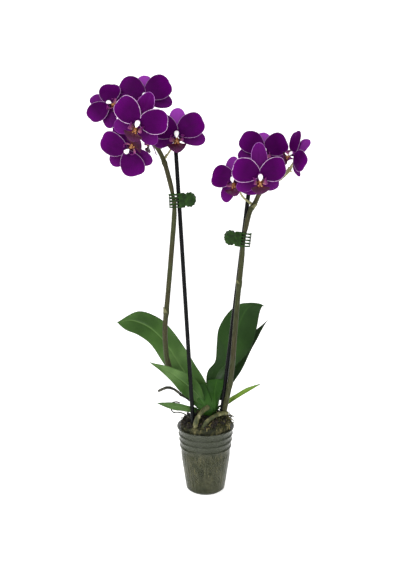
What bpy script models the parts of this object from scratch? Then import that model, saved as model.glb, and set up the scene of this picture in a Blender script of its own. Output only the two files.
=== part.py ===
"""Potted moth orchid: two staked flower spikes in a small clear nursery pot.

Every length here is in millimetres and becomes metres when a mesh is made.
The origin is the middle of the pot's foot, +Z is up and the plant faces -Y.
"""

import math

import bmesh
import bpy
import numpy as np
from mathutils import Matrix, Vector

# ---------------------------------------------------------------- driving sizes

MM = 0.001
GAP = 0.35  # clearance between neighbouring pieces

POT_WALL = 1.0
POT_SIDES = 32
FOOT_RADIUS = 21.0
RIM_RADIUS = 35.2
RIM_HEIGHT = 85.0
# radius and height of the moulded ribs below the rim, bottom to top
POT_RIBS = [(32.3, 59.5), (33.1, 67.5), (34.0, 75.5)]
RIB_STEP = 1.5
POT_WAIST = [(24.2, 3.0), (27.3, 25.0), (30.0, 44.0), (30.6, 54.0)]
DRAIN_HOLES = 6
DRAIN_RING = 13.5
DRAIN_RADIUS = 2.6
DRAIN_OFFSET = 0.1

MEDIUM_TOP = 96.0
MOUND_HEIGHT = 6.0

STAKE_RADIUS = 2.5
STAKE_DEPTH = 60.0
STAKE_SIDES = 10
STAKES = {
    "left": ((-16.0, -15.0, 102.0), (-35.0, 5.0, 422.0)),
    "right": ((20.0, -6.0, 106.0), (50.0, 5.2, 373.0)),
}

SPIKE_RADIUS = 2.45
SPIKE_TIP_RADIUS = 1.5
SPIKE_SIDES = 8
PEDICEL_RADIUS = 1.15

LEAF_THICKNESS = 1.5
PETAL_THICKNESS = 0.8
PETAL_LENGTH = 31.0
PETAL_HALF_WIDTH = 15.0
PETAL_WAIST = 0.5
PETAL_REACH = (148, 148)
SEPAL_LENGTH = 30.5
SEPAL_HALF_WIDTH = 9.4
SEPAL_NOTCH = 3.0  # degrees left open on each side of the line between two sepals

# ---------------------------------------------------------------- the flowers
# centre, turn to the right, upward tilt, clockwise roll, size, the angle from the top
# sepal to each side sepal, the top sepal's length, and how far the petals are raised

FLOWERS = {
    "a": ((-70, 4, 486), 0, 14, -3, 1.04, 108, 24, 24),
    "b": ((-74, -47, 460), -8, -8, 22, 1.03, 128, 32, 20),
    "c": ((-110.5, -13, 477), 0, 31, -62, 0.87, 122, 28, 20),
    "d": ((-89, -28, 427), -8, -12, -131, 1.02, 108, 28, 20),
    "e": ((-32.5, -13, 445), -8, 8, -3, 1.04, 108, 28, 24),
    "f": ((-65, 38, 437), -100, -8, 10, 0.88, 128, 29, 23),
    "g": ((67, 9, 423.5), 6, 14, 5, 0.98, 106, 22.5, 24),
    "h": ((59, -47, 402), 8, -12, -1, 1.0, 132, 34, 14),
    "i": ((33, -15, 393), -28, 14, -18, 0.98, 132, 29, 20),
    "j": ((102, -14, 422), -66, 9, 50, 0.84, 118, 29, 20),
}

# where each flower's stalk leaves its spike, and the point that the stalk bows through
STALKS = {
    "left": {
        "a": ((-59, 2, 431), (-62, 12, 462)),
        "b": ((-71, 2, 444), (-75, -20, 450)),
        "c": ((-90, 1, 453.5), (-97, -2, 468)),
        "d": ((-80, 2, 450), (-84, -8, 440)),
        "e": ((-49, 0, 413), (-38, 0, 430)),
        "f": ((-45, -1, 399), (-52, 18, 416)),
    },
    "right": {
        "g": ((78, 6, 386), (74, 16, 404)),
        "h": ((68, 4, 380), (62, -22, 390)),
        "i": ((56, 1, 360), (42, -2, 372)),
        "j": ((95, 9, 398), (101, 6, 408)),
    },
}

SPIKES = {
    "left": [
        (-6, -1, 118), (-19, 3, 127), (-35, 4, 143), (-46, 3, 163), (-49, -1, 190),
        (-49, -6, 215), (-46, -7, 247), (-41, -6, 302), (-37, -4.4, 354), (-39, -3.4, 374),
        (-44, -2, 396), (-50, 0, 415), (-59, 2, 431), (-69, 2, 443), (-83, 2, 452),
        (-94, 0, 454), (-103, -4, 448),
    ],
    "right": [
        (23.2, -11, 109.5), (25, -11.5, 120), (28, -12, 135), (32, -13, 165),
        (34, -13, 196), (38, -10, 250), (42, -5, 290), (45, -2.6, 322), (51, -1, 351),
        (58, 1, 364), (63, 3, 374), (70, 4, 381), (80, 6, 387), (87, 8, 391), (95, 9, 398),
        (99, 10, 403),
    ],
}

# opposite edges of each leaf from its foot to its tip, and how deep its fold is
LEAVES = {
    "leaf_left_large": (
        [(8, 1, 117), (4, 5, 130), (-3, 10, 144), (-13, 17, 158), (-25, 25, 176), (-42, 36, 197),
         (-60, 44, 212), (-85, 50, 218), (-111, 40, 206)],
        [(-6, 3, 116), (-26, 7, 130), (-42, 13, 145), (-54, 18, 162), (-68, 24, 182),
         (-84, 28, 193), (-100, 32, 199), (-111, 40, 206)],
        3.0,
    ),
    "leaf_right_large": (
        [(5, 6, 118), (1, 11, 136), (3, 17, 150), (12, 22, 161), (14, 30, 180),
         (17, 38, 200), (30, 46, 219), (47, 48, 229), (73, 42, 227)],
        [(13, 3, 117), (19, 9, 131), (29, 17, 147), (41, 24, 158), (56, 34, 173),
         (64, 42, 196), (68, 46, 216), (71, 45, 225), (73, 42, 227)],
        4.0,
    ),
    "leaf_right_back": (
        [(14, 12, 116), (21, 26, 129), (30, 46, 145), (42, 60, 164), (58, 70, 181), (81, 76, 200)],
        [(21, 9, 115), (34, 22, 132), (48, 40, 148), (62, 56, 172), (73, 68, 189), (81, 76, 200)],
        3.0,
    ),
    "leaf_left_small": (
        [(-1, -7, 120), (-7, -7, 139), (-19, -7, 153), (-33, -9, 160), (-47, -14, 167),
         (-67, -22, 174)],
        [(-5, -10, 115), (-19, -9, 122), (-30, -12, 132), (-42, -17, 149), (-54, -20, 162),
         (-67, -22, 174)],
        4.0,
    ),
    "leaf_left_low": (
        [(-10, -8, 110.5), (-20, -12, 114.5), (-31, -16, 119), (-43, -20, 122.5), (-59, -26, 124)],
        [(-11, -8, 105), (-20, -12, 106.5), (-31, -16, 110), (-44, -20, 114), (-59, -26, 124)],
        1.0,
    ),
    "leaf_right_young": (
        [(16, 3, 109), (22, 0, 114), (34.7, -2, 124.8), (50.3, -8, 136.8), (66.5, -17, 145)],
        [(18.6, 1, 106.2), (24.8, -1, 110.5), (37.5, -5, 121.3), (52.9, -11, 133.6),
         (66.5, -17, 145)],
        1.0,
    ),
}

# radius, and the route from the crown outwards
ROOTS = {
    "root_front_left": (
        2.9,
        [(3, -11, 113), (-2, -15, 111), (-7, -20, 107), (-11, -23.5, 101), (-13, -25, 93)],
    ),
    "root_front_right": (
        2.6,
        [(26, -10, 105), (17, -14, 105), (9, -19, 103), (2, -23, 99), (-3, -26, 92)],
    ),
    "root_arching": (
        1.7,
        [(-13, 0, 112), (-20, -4, 120), (-30, -9, 128), (-38, -12, 136), (-47, -16, 140),
         (-57, -20, 137)],
    ),
}

COLOURS = {
    "pot": (0.32, 0.36, 0.31),
    "medium": (0.05, 0.04, 0.02),
    "crown": (0.10, 0.16, 0.05),
    "leaf": (0.06, 0.16, 0.04),
    "young_leaf": (0.22, 0.36, 0.06),
    "root": (0.25, 0.25, 0.14),
    "dry_root": (0.03, 0.03, 0.02),
    "spike": (0.14, 0.15, 0.05),
    "stake": (0.01, 0.012, 0.014),
    "clip": (0.02, 0.09, 0.02),
    "sepal": (0.16, 0.0, 0.22),
    "petal": (0.12, 0.0, 0.20),
    "lip": (0.14, 0.01, 0.04),
    "column": (0.8, 0.75, 0.8),
}

# ---------------------------------------------------------------- scene helpers


def clear_scene():
    for old in list(bpy.data.objects):
        bpy.data.objects.remove(old, do_unlink=True)


def material(name):
    """One plain finish for each kind of tissue or plastic, made once."""
    made = bpy.data.materials.get(name)
    if made:
        return made
    made = bpy.data.materials.new(name)
    made.use_nodes = True
    shader = made.node_tree.nodes["Principled BSDF"]
    shader.inputs["Base Color"].default_value = (*COLOURS[name], 1.0)
    shader.inputs["Roughness"].default_value = 0.3 if name in ("pot", "clip", "stake") else 0.55
    shader.inputs["Metallic"].default_value = 0.0
    return made


def object_from(name, points, faces, finish, placing=None):
    """An object whose mesh has these points, in millimetres, and these faces."""
    mesh = bpy.data.meshes.new(name)
    mesh.from_pydata([Vector(p) * MM for p in points], [], faces)
    made = bpy.data.objects.new(name, mesh)
    bpy.context.collection.objects.link(made)
    if placing is not None:
        mesh.transform(placing)
    work = bmesh.new()
    work.from_mesh(mesh)
    bmesh.ops.recalc_face_normals(work, faces=work.faces)
    work.to_mesh(mesh)
    work.free()
    mesh.materials.append(material(finish))
    mesh.shade_smooth()
    mesh.set_sharp_from_angle(angle=math.radians(40))
    return made


def combine(base, others, operation):
    """Joins or cuts base with each of the others, which are used up."""
    for other in others:
        step = base.modifiers.new("combine", "BOOLEAN")
        step.operation = operation
        step.solver = "EXACT"
        step.object = other
        graph = bpy.context.evaluated_depsgraph_get()
        result = bpy.data.meshes.new_from_object(base.evaluated_get(graph))
        base.modifiers.clear()
        base.data = result
        bpy.data.objects.remove(other, do_unlink=True)
    return base


# ---------------------------------------------------------------- shape helpers


def smooth_route(points, per_span):
    """A Catmull-Rom curve through the points, with per_span steps between each pair."""
    p = np.array(points, float)
    p = np.vstack([2 * p[0] - p[1], p, 2 * p[-1] - p[-2]])
    route = []
    for i in range(1, len(p) - 2):
        for step in range(per_span):
            t = step / per_span
            route.append(
                0.5
                * (
                    2 * p[i]
                    + (p[i + 1] - p[i - 1]) * t
                    + (2 * p[i - 1] - 5 * p[i] + 4 * p[i + 1] - p[i + 2]) * t**2
                    + (3 * p[i] - p[i - 1] - 3 * p[i + 1] + p[i + 2]) * t**3
                )
            )
    route.append(p[-2])
    return [Vector(q) for q in route]


def tube(name, route, radii, sides, finish, rounded_end=False):
    """A closed tube along a route of vectors, with one radius for each point."""
    if rounded_end:
        direction = (route[-1] - route[-2]).normalized()
        route = route + [route[-1] + direction * radii[-1] * 0.7]
        radii = list(radii) + [radii[-1] * 0.55]
    tangent = (route[1] - route[0]).normalized()
    side = tangent.orthogonal().normalized()
    points = []
    for i, centre in enumerate(route):
        ahead = route[min(i + 1, len(route) - 1)]
        behind = route[max(i - 1, 0)]
        tangent = (ahead - behind).normalized()
        side = (side - tangent * side.dot(tangent)).normalized()
        other = tangent.cross(side)
        for k in range(sides):
            angle = 2 * math.pi * k / sides
            points.append(centre + (side * math.cos(angle) + other * math.sin(angle)) * radii[i])
    faces = [list(range(sides))[::-1]]
    for i in range(len(route) - 1):
        for k in range(sides):
            n = (k + 1) % sides
            faces.append([i * sides + k, i * sides + n, (i + 1) * sides + n, (i + 1) * sides + k])
    last = (len(route) - 1) * sides
    faces.append(list(range(last, last + sides)))
    return object_from(name, points, faces, finish)


def turned(name, profile, sides, finish, placing=None):
    """A closed body turned about Z from (radius, height) points.

    The profile starts and ends on the axis.
    """
    points = [(0, 0, profile[0][1])]
    for radius, height in profile[1:-1]:
        for k in range(sides):
            angle = 2 * math.pi * k / sides
            points.append((radius * math.cos(angle), radius * math.sin(angle), height))
    points.append((0, 0, profile[-1][1]))
    rings = len(profile) - 2
    top = len(points) - 1
    faces = []
    for k in range(sides):
        n = (k + 1) % sides
        faces.append([0, 1 + n, 1 + k])
        for ring in range(rings - 1):
            low = 1 + ring * sides
            faces.append([low + k, low + n, low + sides + n, low + sides + k])
        last = 1 + (rings - 1) * sides
        faces.append([last + k, last + n, top])
    return object_from(name, points, faces, finish, placing)


def prism(name, outline, low, high, finish, placing=None):
    """An outline in X and Y, extruded along Z from low to high."""
    count = len(outline)
    points = [(x, y, low) for x, y in outline] + [(x, y, high) for x, y in outline]
    faces = [list(range(count))[::-1], list(range(count, 2 * count))]
    for k in range(count):
        n = (k + 1) % count
        faces.append([k, n, count + n, count + k])
    return object_from(name, points, faces, finish, placing)


def ellipsoid(name, centre, radii, segments, rings, finish, placing=None, tilt=0.0):
    """A squashed ball, tilted about Z by tilt degrees before it is moved to its centre."""
    turns = [math.pi * i / rings for i in range(rings + 1)]
    profile = [(math.sin(turn), -math.cos(turn)) for turn in turns]
    shape = Matrix.Translation(Vector(centre) * MM) @ Matrix.Rotation(math.radians(tilt), 4, "Z")
    shape = shape @ Matrix.Diagonal((*radii, 1.0))
    if placing is not None:
        shape = placing @ shape
    return turned(name, profile, segments, finish, shape)


def blade_outline(length, half_width, direction, steps, waist, reach):
    """Points round one petal or sepal that grows from the origin towards direction, in degrees.

    The outline is an ellipse through the origin, followed this far to each side of its tip,
    and its base is narrowed by the share given as waist.
    """
    turn = math.radians(direction)
    outline = []
    for i in range(steps):
        phi = math.radians(-reach[0] + (reach[0] + reach[1]) * i / (steps - 1))
        along = length * (0.5 + 0.5 * math.cos(phi))
        narrowing = 1 - waist * ((1 - math.cos(phi)) / 2) ** 3
        across = half_width * math.sin(phi) * narrowing
        outline.append(
            (
                along * math.cos(turn) - across * math.sin(turn),
                along * math.sin(turn) + across * math.cos(turn),
            )
        )
    return outline


def reach_within(length, half_width, sector):
    """How far round its ellipse a blade may go and stay within this angle of its own axis."""
    return math.degrees(2 * math.atan(length / 2 / half_width * math.tan(math.radians(sector))))


def sepal_outline(spread, top_length):
    """Three sepals: one straight up, and one to each side at spread degrees from it."""
    above, below = spread / 2, 180 - spread
    sepals = [
        (90, top_length, (above, above)),
        (90 + spread, SEPAL_LENGTH, (above, below)),
        (450 - spread, SEPAL_LENGTH, (below, above)),
    ]
    outline = []
    for direction, length, sectors in sepals:
        reach = [reach_within(length, SEPAL_HALF_WIDTH, sector - SEPAL_NOTCH) for sector in sectors]
        outline += blade_outline(length, SEPAL_HALF_WIDTH, direction, 8, 0.0, reach)
    return outline


def whorl(name, outline, height, rings, finish, placing):
    """A thin sheet that fans out from its centre to the outline; height(x, y) is its front face."""
    count = len(outline)
    plan = [(0.0, 0.0)]
    for ring in range(1, rings + 1):
        share = ring / rings
        plan += [(x * share, y * share) for x, y in outline]
    points = [(x, y, height(x, y)) for x, y in plan]
    half = len(points)
    points += [(x, y, height(x, y) - PETAL_THICKNESS) for x, y in plan]
    faces = []
    for k in range(count):
        n = (k + 1) % count
        faces.append([0, 1 + k, 1 + n])
        faces.append([half, half + 1 + n, half + 1 + k])
        for ring in range(rings - 1):
            low = 1 + ring * count
            faces.append([low + k, low + count + k, low + count + n, low + n])
            faces.append([half + low + n, half + low + count + n, half + low + count + k, half + low + k])
        edge = 1 + (rings - 1) * count
        faces.append([edge + n, edge + k, half + edge + k, half + edge + n])
    return object_from(name, points, faces, finish, placing)


# ---------------------------------------------------------------- pot and medium


def pot_outside():
    """Radius and height up the pot's outer wall, with saw-tooth ribs under the rim."""
    wall = [(FOOT_RADIUS, 0.0)] + POT_WAIST
    for radius, height in POT_RIBS:
        wall += [(radius, height), (radius - RIB_STEP, height + 0.9)]
    wall.append((RIM_RADIUS, RIM_HEIGHT))
    return wall


def make_pot():
    outside = pot_outside()
    inside = [(r - POT_WALL * 1.05, z) for r, z in outside[1:]]
    inside[0] = (inside[0][0], POT_WALL + 1.4)
    profile = [(0, 0)] + outside + inside[::-1] + [(FOOT_RADIUS - 1.5, POT_WALL), (0, POT_WALL)]
    pot = turned("pot", profile, POT_SIDES, "pot")
    cutters = []
    for k in range(DRAIN_HOLES):
        angle = 2 * math.pi * (k + DRAIN_OFFSET) / DRAIN_HOLES
        place = Matrix.Translation(Vector((math.cos(angle), math.sin(angle), 0)) * DRAIN_RING * MM)
        hole = [(0, -2), (DRAIN_RADIUS, -2), (DRAIN_RADIUS, 4), (0, 4)]
        cutters.append(turned(f"drain_{k}", hole, 10, "pot", place))
    return combine(pot, cutters, "DIFFERENCE")


def medium_height(x, y):
    """The top of the bark and moss: a mound, highest under the crown and to the right."""
    radius = math.hypot(x - 4, y)
    return MEDIUM_TOP + MOUND_HEIGHT * math.exp(-((radius / 20) ** 2)) - 5 * (radius / 32) ** 4


def make_medium():
    """The plug of bark and moss, with a sleeve for each stake, the crown and the sunk roots."""
    clear = POT_WALL * 1.05 + GAP
    levels = [(FOOT_RADIUS - 1.5, POT_WALL + GAP), (POT_WAIST[0][0] - clear, POT_WALL + 1.4 + GAP)]
    levels += [(r - clear, z) for r, z in POT_WAIST[1:]]
    levels += [(POT_RIBS[0][0] - RIB_STEP - clear, POT_RIBS[0][1])]
    levels += [(POT_RIBS[1][0] - RIB_STEP - clear, POT_RIBS[2][1])]
    top_radii = [31.0, 29.0, 22.0, 14.0, 7.0]
    sides = 24
    points = [(0, 0, levels[0][1])]
    for radius, height in levels:
        points += ring_points(radius, sides, lambda x, y, z=height: z)
    for radius in top_radii:
        points += ring_points(radius, sides, medium_height)
    points.append((0, 0, medium_height(0, 0)))
    rings = len(levels) + len(top_radii)
    faces = []
    for k in range(sides):
        n = (k + 1) % sides
        faces.append([0, 1 + n, 1 + k])
        for ring in range(rings - 1):
            low = 1 + ring * sides
            faces.append([low + k, low + n, low + sides + n, low + sides + k])
        last = 1 + (rings - 1) * sides
        faces.append([last + k, last + n, len(points) - 1])
    return object_from("growing_medium", points, faces, "medium")


def ring_points(radius, sides, height):
    ring = []
    for k in range(sides):
        angle = 2 * math.pi * k / sides
        x, y = radius * math.cos(angle), radius * math.sin(angle)
        ring.append((x, y, height(x, y)))
    return ring


def stake_route(side, extra=0.0):
    """The two ends of a stake, the lower one sunk in the medium."""
    low, high = (Vector(p) for p in STAKES[side])
    along = (high - low).normalized()
    return [low - along * (STAKE_DEPTH + extra), high]


def make_stake(side):
    return tube(
        f"stake_{side}", stake_route(side), [STAKE_RADIUS] * 2, STAKE_SIDES, "stake", rounded_end=True
    )


# ---------------------------------------------------------------- crown, roots, leaves

CROWN_PROFILE = [(0, 90), (7, 90.5), (8.5, 97), (8, 105), (6, 112), (3.5, 114.5), (0, 115.2)]
CROWN_CENTRE = (4.0, 0.0)


def make_crown():
    """The short stem that the leaves, roots and spikes grow from."""
    place = Matrix.Translation(Vector((*CROWN_CENTRE, 0)) * MM)
    return turned("crown", CROWN_PROFILE, 14, "crown", place)


def make_root(name, finish, grow=0.0):
    radius, route = ROOTS[name]
    line = smooth_route(route, 3)
    radii = [radius + grow] * len(line)
    return tube(name if not grow else f"{name}_sleeve", line, radii, 8, finish, rounded_end=True)


def make_leaf(name, finish, across=4):
    """A leaf blade: its two edges are smooth curves, and its midrib lies below them in a groove."""
    edge_a, edge_b, fold = LEAVES[name]
    route_a, route_b = smooth_route(edge_a, 2), smooth_route(edge_b, 2)
    steps = min(len(route_a), len(route_b))
    rows = []
    for i in range(steps):
        share = i / (steps - 1)
        a = route_a[round(share * (len(route_a) - 1))]
        b = route_b[round(share * (len(route_b) - 1))]
        rows.append((a, b))
    rows[-1] = (rows[-1][0].lerp(rows[-2][0], 0.06), rows[-1][1].lerp(rows[-2][1], 0.06))
    top = []
    for i, (a, b) in enumerate(rows):
        ahead = rows[min(i + 1, steps - 1)]
        behind = rows[max(i - 1, 0)]
        along = (ahead[0] + ahead[1] - behind[0] - behind[1]).normalized()
        normal = along.cross(b - a).normalized()
        if normal.y > 0 and name != "leaf_left_low":
            normal = -normal
        depth = fold * math.sin(math.pi * min(0.95, 0.25 + i / (steps - 1)))
        for k in range(across + 1):
            s = k / across
            sag = depth * (1 - (2 * s - 1) ** 2)
            top.append((a.lerp(b, s) - normal * sag, normal))
    points = [p for p, _ in top]
    half = len(points)
    points += [p - normal * LEAF_THICKNESS for p, normal in top]
    wide = across + 1
    faces = []
    for i in range(steps - 1):
        for k in range(across):
            c = i * wide + k
            faces.append([c, c + 1, c + wide + 1, c + wide])
            faces.append([half + c, half + c + wide, half + c + wide + 1, half + c + 1])
        for k in (0, across):
            c = i * wide + k
            faces.append([c, c + wide, half + c + wide, half + c])
    for i in (0, steps - 1):
        for k in range(across):
            c = i * wide + k
            faces.append([c, c + 1, half + c + 1, half + c])
    return object_from(name, points, faces, finish)


# ---------------------------------------------------------------- spikes and flowers


def flower_frame(letter):
    """The matrix from a flower's own axes (X right, Y up, Z forward) to the plant's."""
    centre, turn, tilt, roll, size = FLOWERS[letter][:5]
    turn, tilt, roll = (math.radians(a) for a in (turn, tilt, roll))
    forward = Vector(
        (math.sin(turn) * math.cos(tilt), -math.cos(turn) * math.cos(tilt), math.sin(tilt))
    )
    right = Vector((0, 0, 1)).cross(forward).normalized()
    up = forward.cross(right)
    x = right * math.cos(roll) - up * math.sin(roll)
    y = up * math.cos(roll) + right * math.sin(roll)
    turned_axes = Matrix((x, y, forward)).transposed().to_4x4()
    return Matrix.Translation(Vector(centre) * MM) @ turned_axes @ Matrix.Diagonal((size, size, size, 1))


def petal_height(x, y):
    return 1.4 + 0.13 * abs(x) - 0.0062 * (x * x + y * y)


def sepal_height(x, y):
    return -0.5 - 0.0068 * (x * x + y * y)


def make_flower(letter):
    """Four organs: three sepals in one whorl, two petals in one whorl, the lip and the column."""
    place = flower_frame(letter)
    spread, top_length, rise = FLOWERS[letter][5:]
    name = f"flower_{letter}"
    whorl(f"{name}_sepals", sepal_outline(spread, top_length), sepal_height, 2, "sepal", place)
    petals = []
    for direction in (rise, 180 - rise):
        petals += blade_outline(
            PETAL_LENGTH, PETAL_HALF_WIDTH, direction, 11, PETAL_WAIST, PETAL_REACH
        )
    whorl(f"{name}_petals", petals, petal_height, 2, "petal", place)
    lip = ellipsoid(f"{name}_lip", (0, -8.5, 4.8), (6.3, 5.6, 2.6), 8, 4, "lip", place)
    middle = ellipsoid("middle_lobe", (0, -16, 6.5), (8.8, 5.2, 2.1), 8, 4, "lip", place)
    ears = [
        ellipsoid(f"ear_{side}", (side * 5.3, -6.2, 7.2), (1.4, 5, 4.4), 6, 4, "lip", place, side * 12)
        for side in (-1, 1)
    ]
    combine(lip, [middle] + ears, "UNION")
    column = [(0, 1.9), (2.1, 2.0), (1.9, 5), (2.4, 7.6), (1.6, 9.2), (0, 9.6)]
    turned(f"{name}_column", column, 8, "column", place)


def stalk_end(letter):
    """The point just behind a flower where its stalk stops."""
    back = sepal_height(0, 0) - PETAL_THICKNESS - 2 * GAP
    return flower_frame(letter) @ Vector((0, 0, back * MM)) / MM


def make_spike(side):
    """A flower spike: the main stem with one stalk for each flower."""
    line = smooth_route(SPIKES[side], 2)
    last = len(line) - 1
    narrowing = SPIKE_RADIUS - SPIKE_TIP_RADIUS
    radii = [SPIKE_RADIUS - narrowing * (i / last) ** 2 for i in range(last + 1)]
    spike = tube(f"spike_{side}", line, radii, SPIKE_SIDES, "spike", rounded_end=True)
    stalks = []
    for letter, (start, middle) in STALKS[side].items():
        end = stalk_end(letter)
        behind = flower_frame(letter).to_3x3() @ Vector((0, 0, 1))
        before_end = end - behind.normalized() * 5
        route = smooth_route([start, middle, before_end, end], 2)
        stalks.append(
            tube(f"stalk_{letter}", route, [PEDICEL_RADIUS] * len(route), 6, "spike")
        )
    return combine(spike, stalks, "UNION")


# ---------------------------------------------------------------- clips

HINGE_RADIUS = 2.2
PIN_RADIUS = 0.8
PIN_BORE = 1.15
TOOTH_PITCH = 3.7
HINGE_SPAN = 4.2
HANDLE_RADIUS = 8.6
HANDLE_LEAN = 22.0
HANDLE_CENTRE = (-6.6, 6.4)
HANDLE_LOBES = 12
LOBE_DEPTH = 0.9
HANDLE_THICKNESS = 1.6
# outlines of the front jaw seen along the hinge; the back jaw mirrors them
TOOTH_INNER_EDGE = [(4.0, 6.05), (7.0, 6.0), (11.5, 6.0), (14.4, 4.2), (15.9, 1.2), (16.0, -1.0)]
TOOTH_OUTER_EDGE = [(17.3, -1.2), (17.5, 1.6), (15.7, 5.4), (12.2, 7.4), (6.8, 7.35), (4.0, 7.0)]
JAW_PLATE_EDGE = [(0.2, 2.6), (3.0, 5.5), (5.5, 5.8), (5.5, 7.4), (2.2, 7.0), (-1.4, 4.2)]
WEB_EDGE = [(-1.5, 0.3), (1.5, 0.3), (1.5, 4.6), (-1.5, 4.6)]
FRONT_PLATE_HALF = 8.7
BACK_PLATE_HALF = 7.5
FRONT_TOOTH_HALF = 0.8
BACK_TOOTH_HALF = 0.65
KNUCKLE_LENGTH = 2.65

# a point on the hinge's axis, and the direction from it across the two stems
CLIPS = {
    "left": ((-26.0, -1.4, 367.0), "left", -1.0),
    "right": ((36.0, 0.2, 321.0), "right", 1.0),
}


def clip_frame(side):
    """Hinge frame: X from the hinge across the stems, Y out of the front jaw, Z along the stake.

    Z points so that a positive turn opens the front jaw: up on the left clip, down on the right.
    """
    point, stake, reach = CLIPS[side]
    low, high = stake_route(stake)
    z = (high - low).normalized() * -reach
    across = Vector((reach, 0, 0))
    x = (across - z * across.dot(z)).normalized()
    y = z.cross(x)
    axes = Matrix((x, y, z)).transposed().to_4x4()
    return Matrix.Translation(Vector(point) * MM) @ axes


def tooth_outline(front):
    """One curved tooth, from inside the jaw's plate to its tip; front is 1 or -1."""
    return [(x, y * front) for x, y in TOOTH_INNER_EDGE + TOOTH_OUTER_EDGE]


def plate_outline(front):
    """The bent plate that all the teeth of one jaw grow from."""
    return [(x, y * front) for x, y in JAW_PLATE_EDGE]


def handle(name, front):
    """The round finger grip with a scalloped edge, leaning away from the other grip."""
    outline = []
    for k in range(2 * HANDLE_LOBES):
        radius = HANDLE_RADIUS if k % 2 else HANDLE_RADIUS - LOBE_DEPTH
        angle = math.pi * k / HANDLE_LOBES
        outline.append((radius * math.cos(angle), radius * math.sin(angle)))
    upright = Matrix.Rotation(math.radians(-90), 4, "X")
    lean = Matrix.Rotation(math.radians(-HANDLE_LEAN * front), 4, "Z")
    move = Matrix.Translation(Vector((HANDLE_CENTRE[0], HANDLE_CENTRE[1] * front, 0)) * MM)
    half = HANDLE_THICKNESS / 2
    return prism(name, outline, -half, half, "clip", move @ lean @ upright)


def teeth(front, places, half):
    """Teeth at these multiples of the pitch along the hinge."""
    made = []
    for place in places:
        middle = TOOTH_PITCH * place
        made.append(prism("tooth", tooth_outline(front), middle - half, middle + half, "clip"))
    return made


def rod(name, radius, low, high, sides=12):
    """A straight round rod on the hinge's axis."""
    return turned(name, [(0, low), (radius, low), (radius, high), (0, high)], sides, "clip")


def web(front, low, high):
    """The block that joins a knuckle to its jaw's plate, a little shorter than the knuckle."""
    outline = [(x, y * front) for x, y in WEB_EDGE]
    return prism("web", outline, low + 0.2, high - 0.2, "clip")


def make_front_jaw(name):
    """Five teeth, one grip, and the middle knuckle with the bore that the pin runs in."""
    span = HINGE_SPAN
    jaw = prism(name, plate_outline(1), -FRONT_PLATE_HALF, FRONT_PLATE_HALF, "clip")
    pieces = teeth(1, (-2, -1, 0, 1, 2), FRONT_TOOTH_HALF)
    pieces += [handle("grip", 1), web(1, -span, span), rod("knuckle", HINGE_RADIUS, -span, span)]
    combine(jaw, pieces, "UNION")
    return combine(jaw, [rod("bore", PIN_BORE, -span - 1, span + 1)], "DIFFERENCE")


def make_back_jaw(name):
    """Four teeth, one grip, and the two outer knuckles that hold the pin."""
    inner = HINGE_SPAN + GAP
    outer = inner + KNUCKLE_LENGTH
    jaw = prism(name, plate_outline(-1), -BACK_PLATE_HALF, BACK_PLATE_HALF, "clip")
    pieces = teeth(-1, (-1.5, -0.5, 0.5, 1.5), BACK_TOOTH_HALF)
    pieces.append(handle("grip", -1))
    for low, high in ((-outer, -inner), (inner, outer)):
        pieces += [rod("knuckle", HINGE_RADIUS, low, high), web(-1, low, high)]
    pieces.append(rod("pin", PIN_RADIUS, 0.5 - outer, outer - 0.5, 10))
    return combine(jaw, pieces, "UNION")


def make_clip(side):
    """A sprung claw clip: the back jaw holds the pin, and the front jaw turns on it."""
    place = clip_frame(side)
    for jaw in (make_front_jaw(f"clip_{side}_front_jaw"), make_back_jaw(f"clip_{side}_back_jaw")):
        jaw.data.transform(place)


# ---------------------------------------------------------------- the whole plant


def main():
    clear_scene()
    make_pot()
    medium = make_medium()
    crown = make_crown()
    for side in STAKES:
        make_stake(side)
    make_root("root_front_left", "root")
    make_root("root_front_right", "root")
    make_root("root_arching", "dry_root")
    sleeves = [
        tube(f"sleeve_{side}", stake_route(side, 1.0), [STAKE_RADIUS + GAP] * 2, STAKE_SIDES, "medium")
        for side in STAKES
    ]
    place = Matrix.Translation(Vector((*CROWN_CENTRE, 0)) * MM)
    pocket = [(0, 89), (7.6, 89), (9.1, 97), (9.1, 108), (0, 109)]
    sleeves.append(turned("crown_pocket", pocket, 14, "medium", place))
    sleeves += [make_root(name, "medium", GAP) for name in ("root_front_left", "root_front_right")]
    combine(medium, sleeves, "DIFFERENCE")
    for name in LEAVES:
        make_leaf(name, "young_leaf" if name == "leaf_right_young" else "leaf")
    for side in SPIKES:
        make_spike(side)
        make_clip(side)
    for letter in FLOWERS:
        make_flower(letter)


main()
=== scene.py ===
# %% [markdown]
# # A potted moth orchid, built around its CAD frame
#
# The frame gives every piece its size and its place. Each cell below takes one tissue or
# one plastic of the real plant, says how it grows or is made, and builds a finer mesh and
# a procedural finish for it. All lengths are in millimetres until a mesh is made.

# %% Load the frame
import math

import bmesh
import bpy
import numpy as np
from mathutils import Matrix, Vector, noise


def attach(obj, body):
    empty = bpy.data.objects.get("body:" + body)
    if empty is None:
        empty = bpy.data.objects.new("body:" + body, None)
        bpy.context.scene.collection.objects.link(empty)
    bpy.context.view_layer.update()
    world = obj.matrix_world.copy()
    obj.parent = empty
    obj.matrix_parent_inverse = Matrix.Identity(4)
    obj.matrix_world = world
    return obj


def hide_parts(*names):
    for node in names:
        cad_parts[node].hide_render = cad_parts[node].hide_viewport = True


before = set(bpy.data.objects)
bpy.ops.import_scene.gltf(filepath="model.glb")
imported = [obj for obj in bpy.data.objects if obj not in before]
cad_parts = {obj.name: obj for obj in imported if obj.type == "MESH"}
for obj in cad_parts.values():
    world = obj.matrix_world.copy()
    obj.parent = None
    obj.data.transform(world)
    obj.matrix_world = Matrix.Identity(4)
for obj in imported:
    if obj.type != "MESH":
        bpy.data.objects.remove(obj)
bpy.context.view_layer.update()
scene = bpy.context.scene
MM = 0.001

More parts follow.
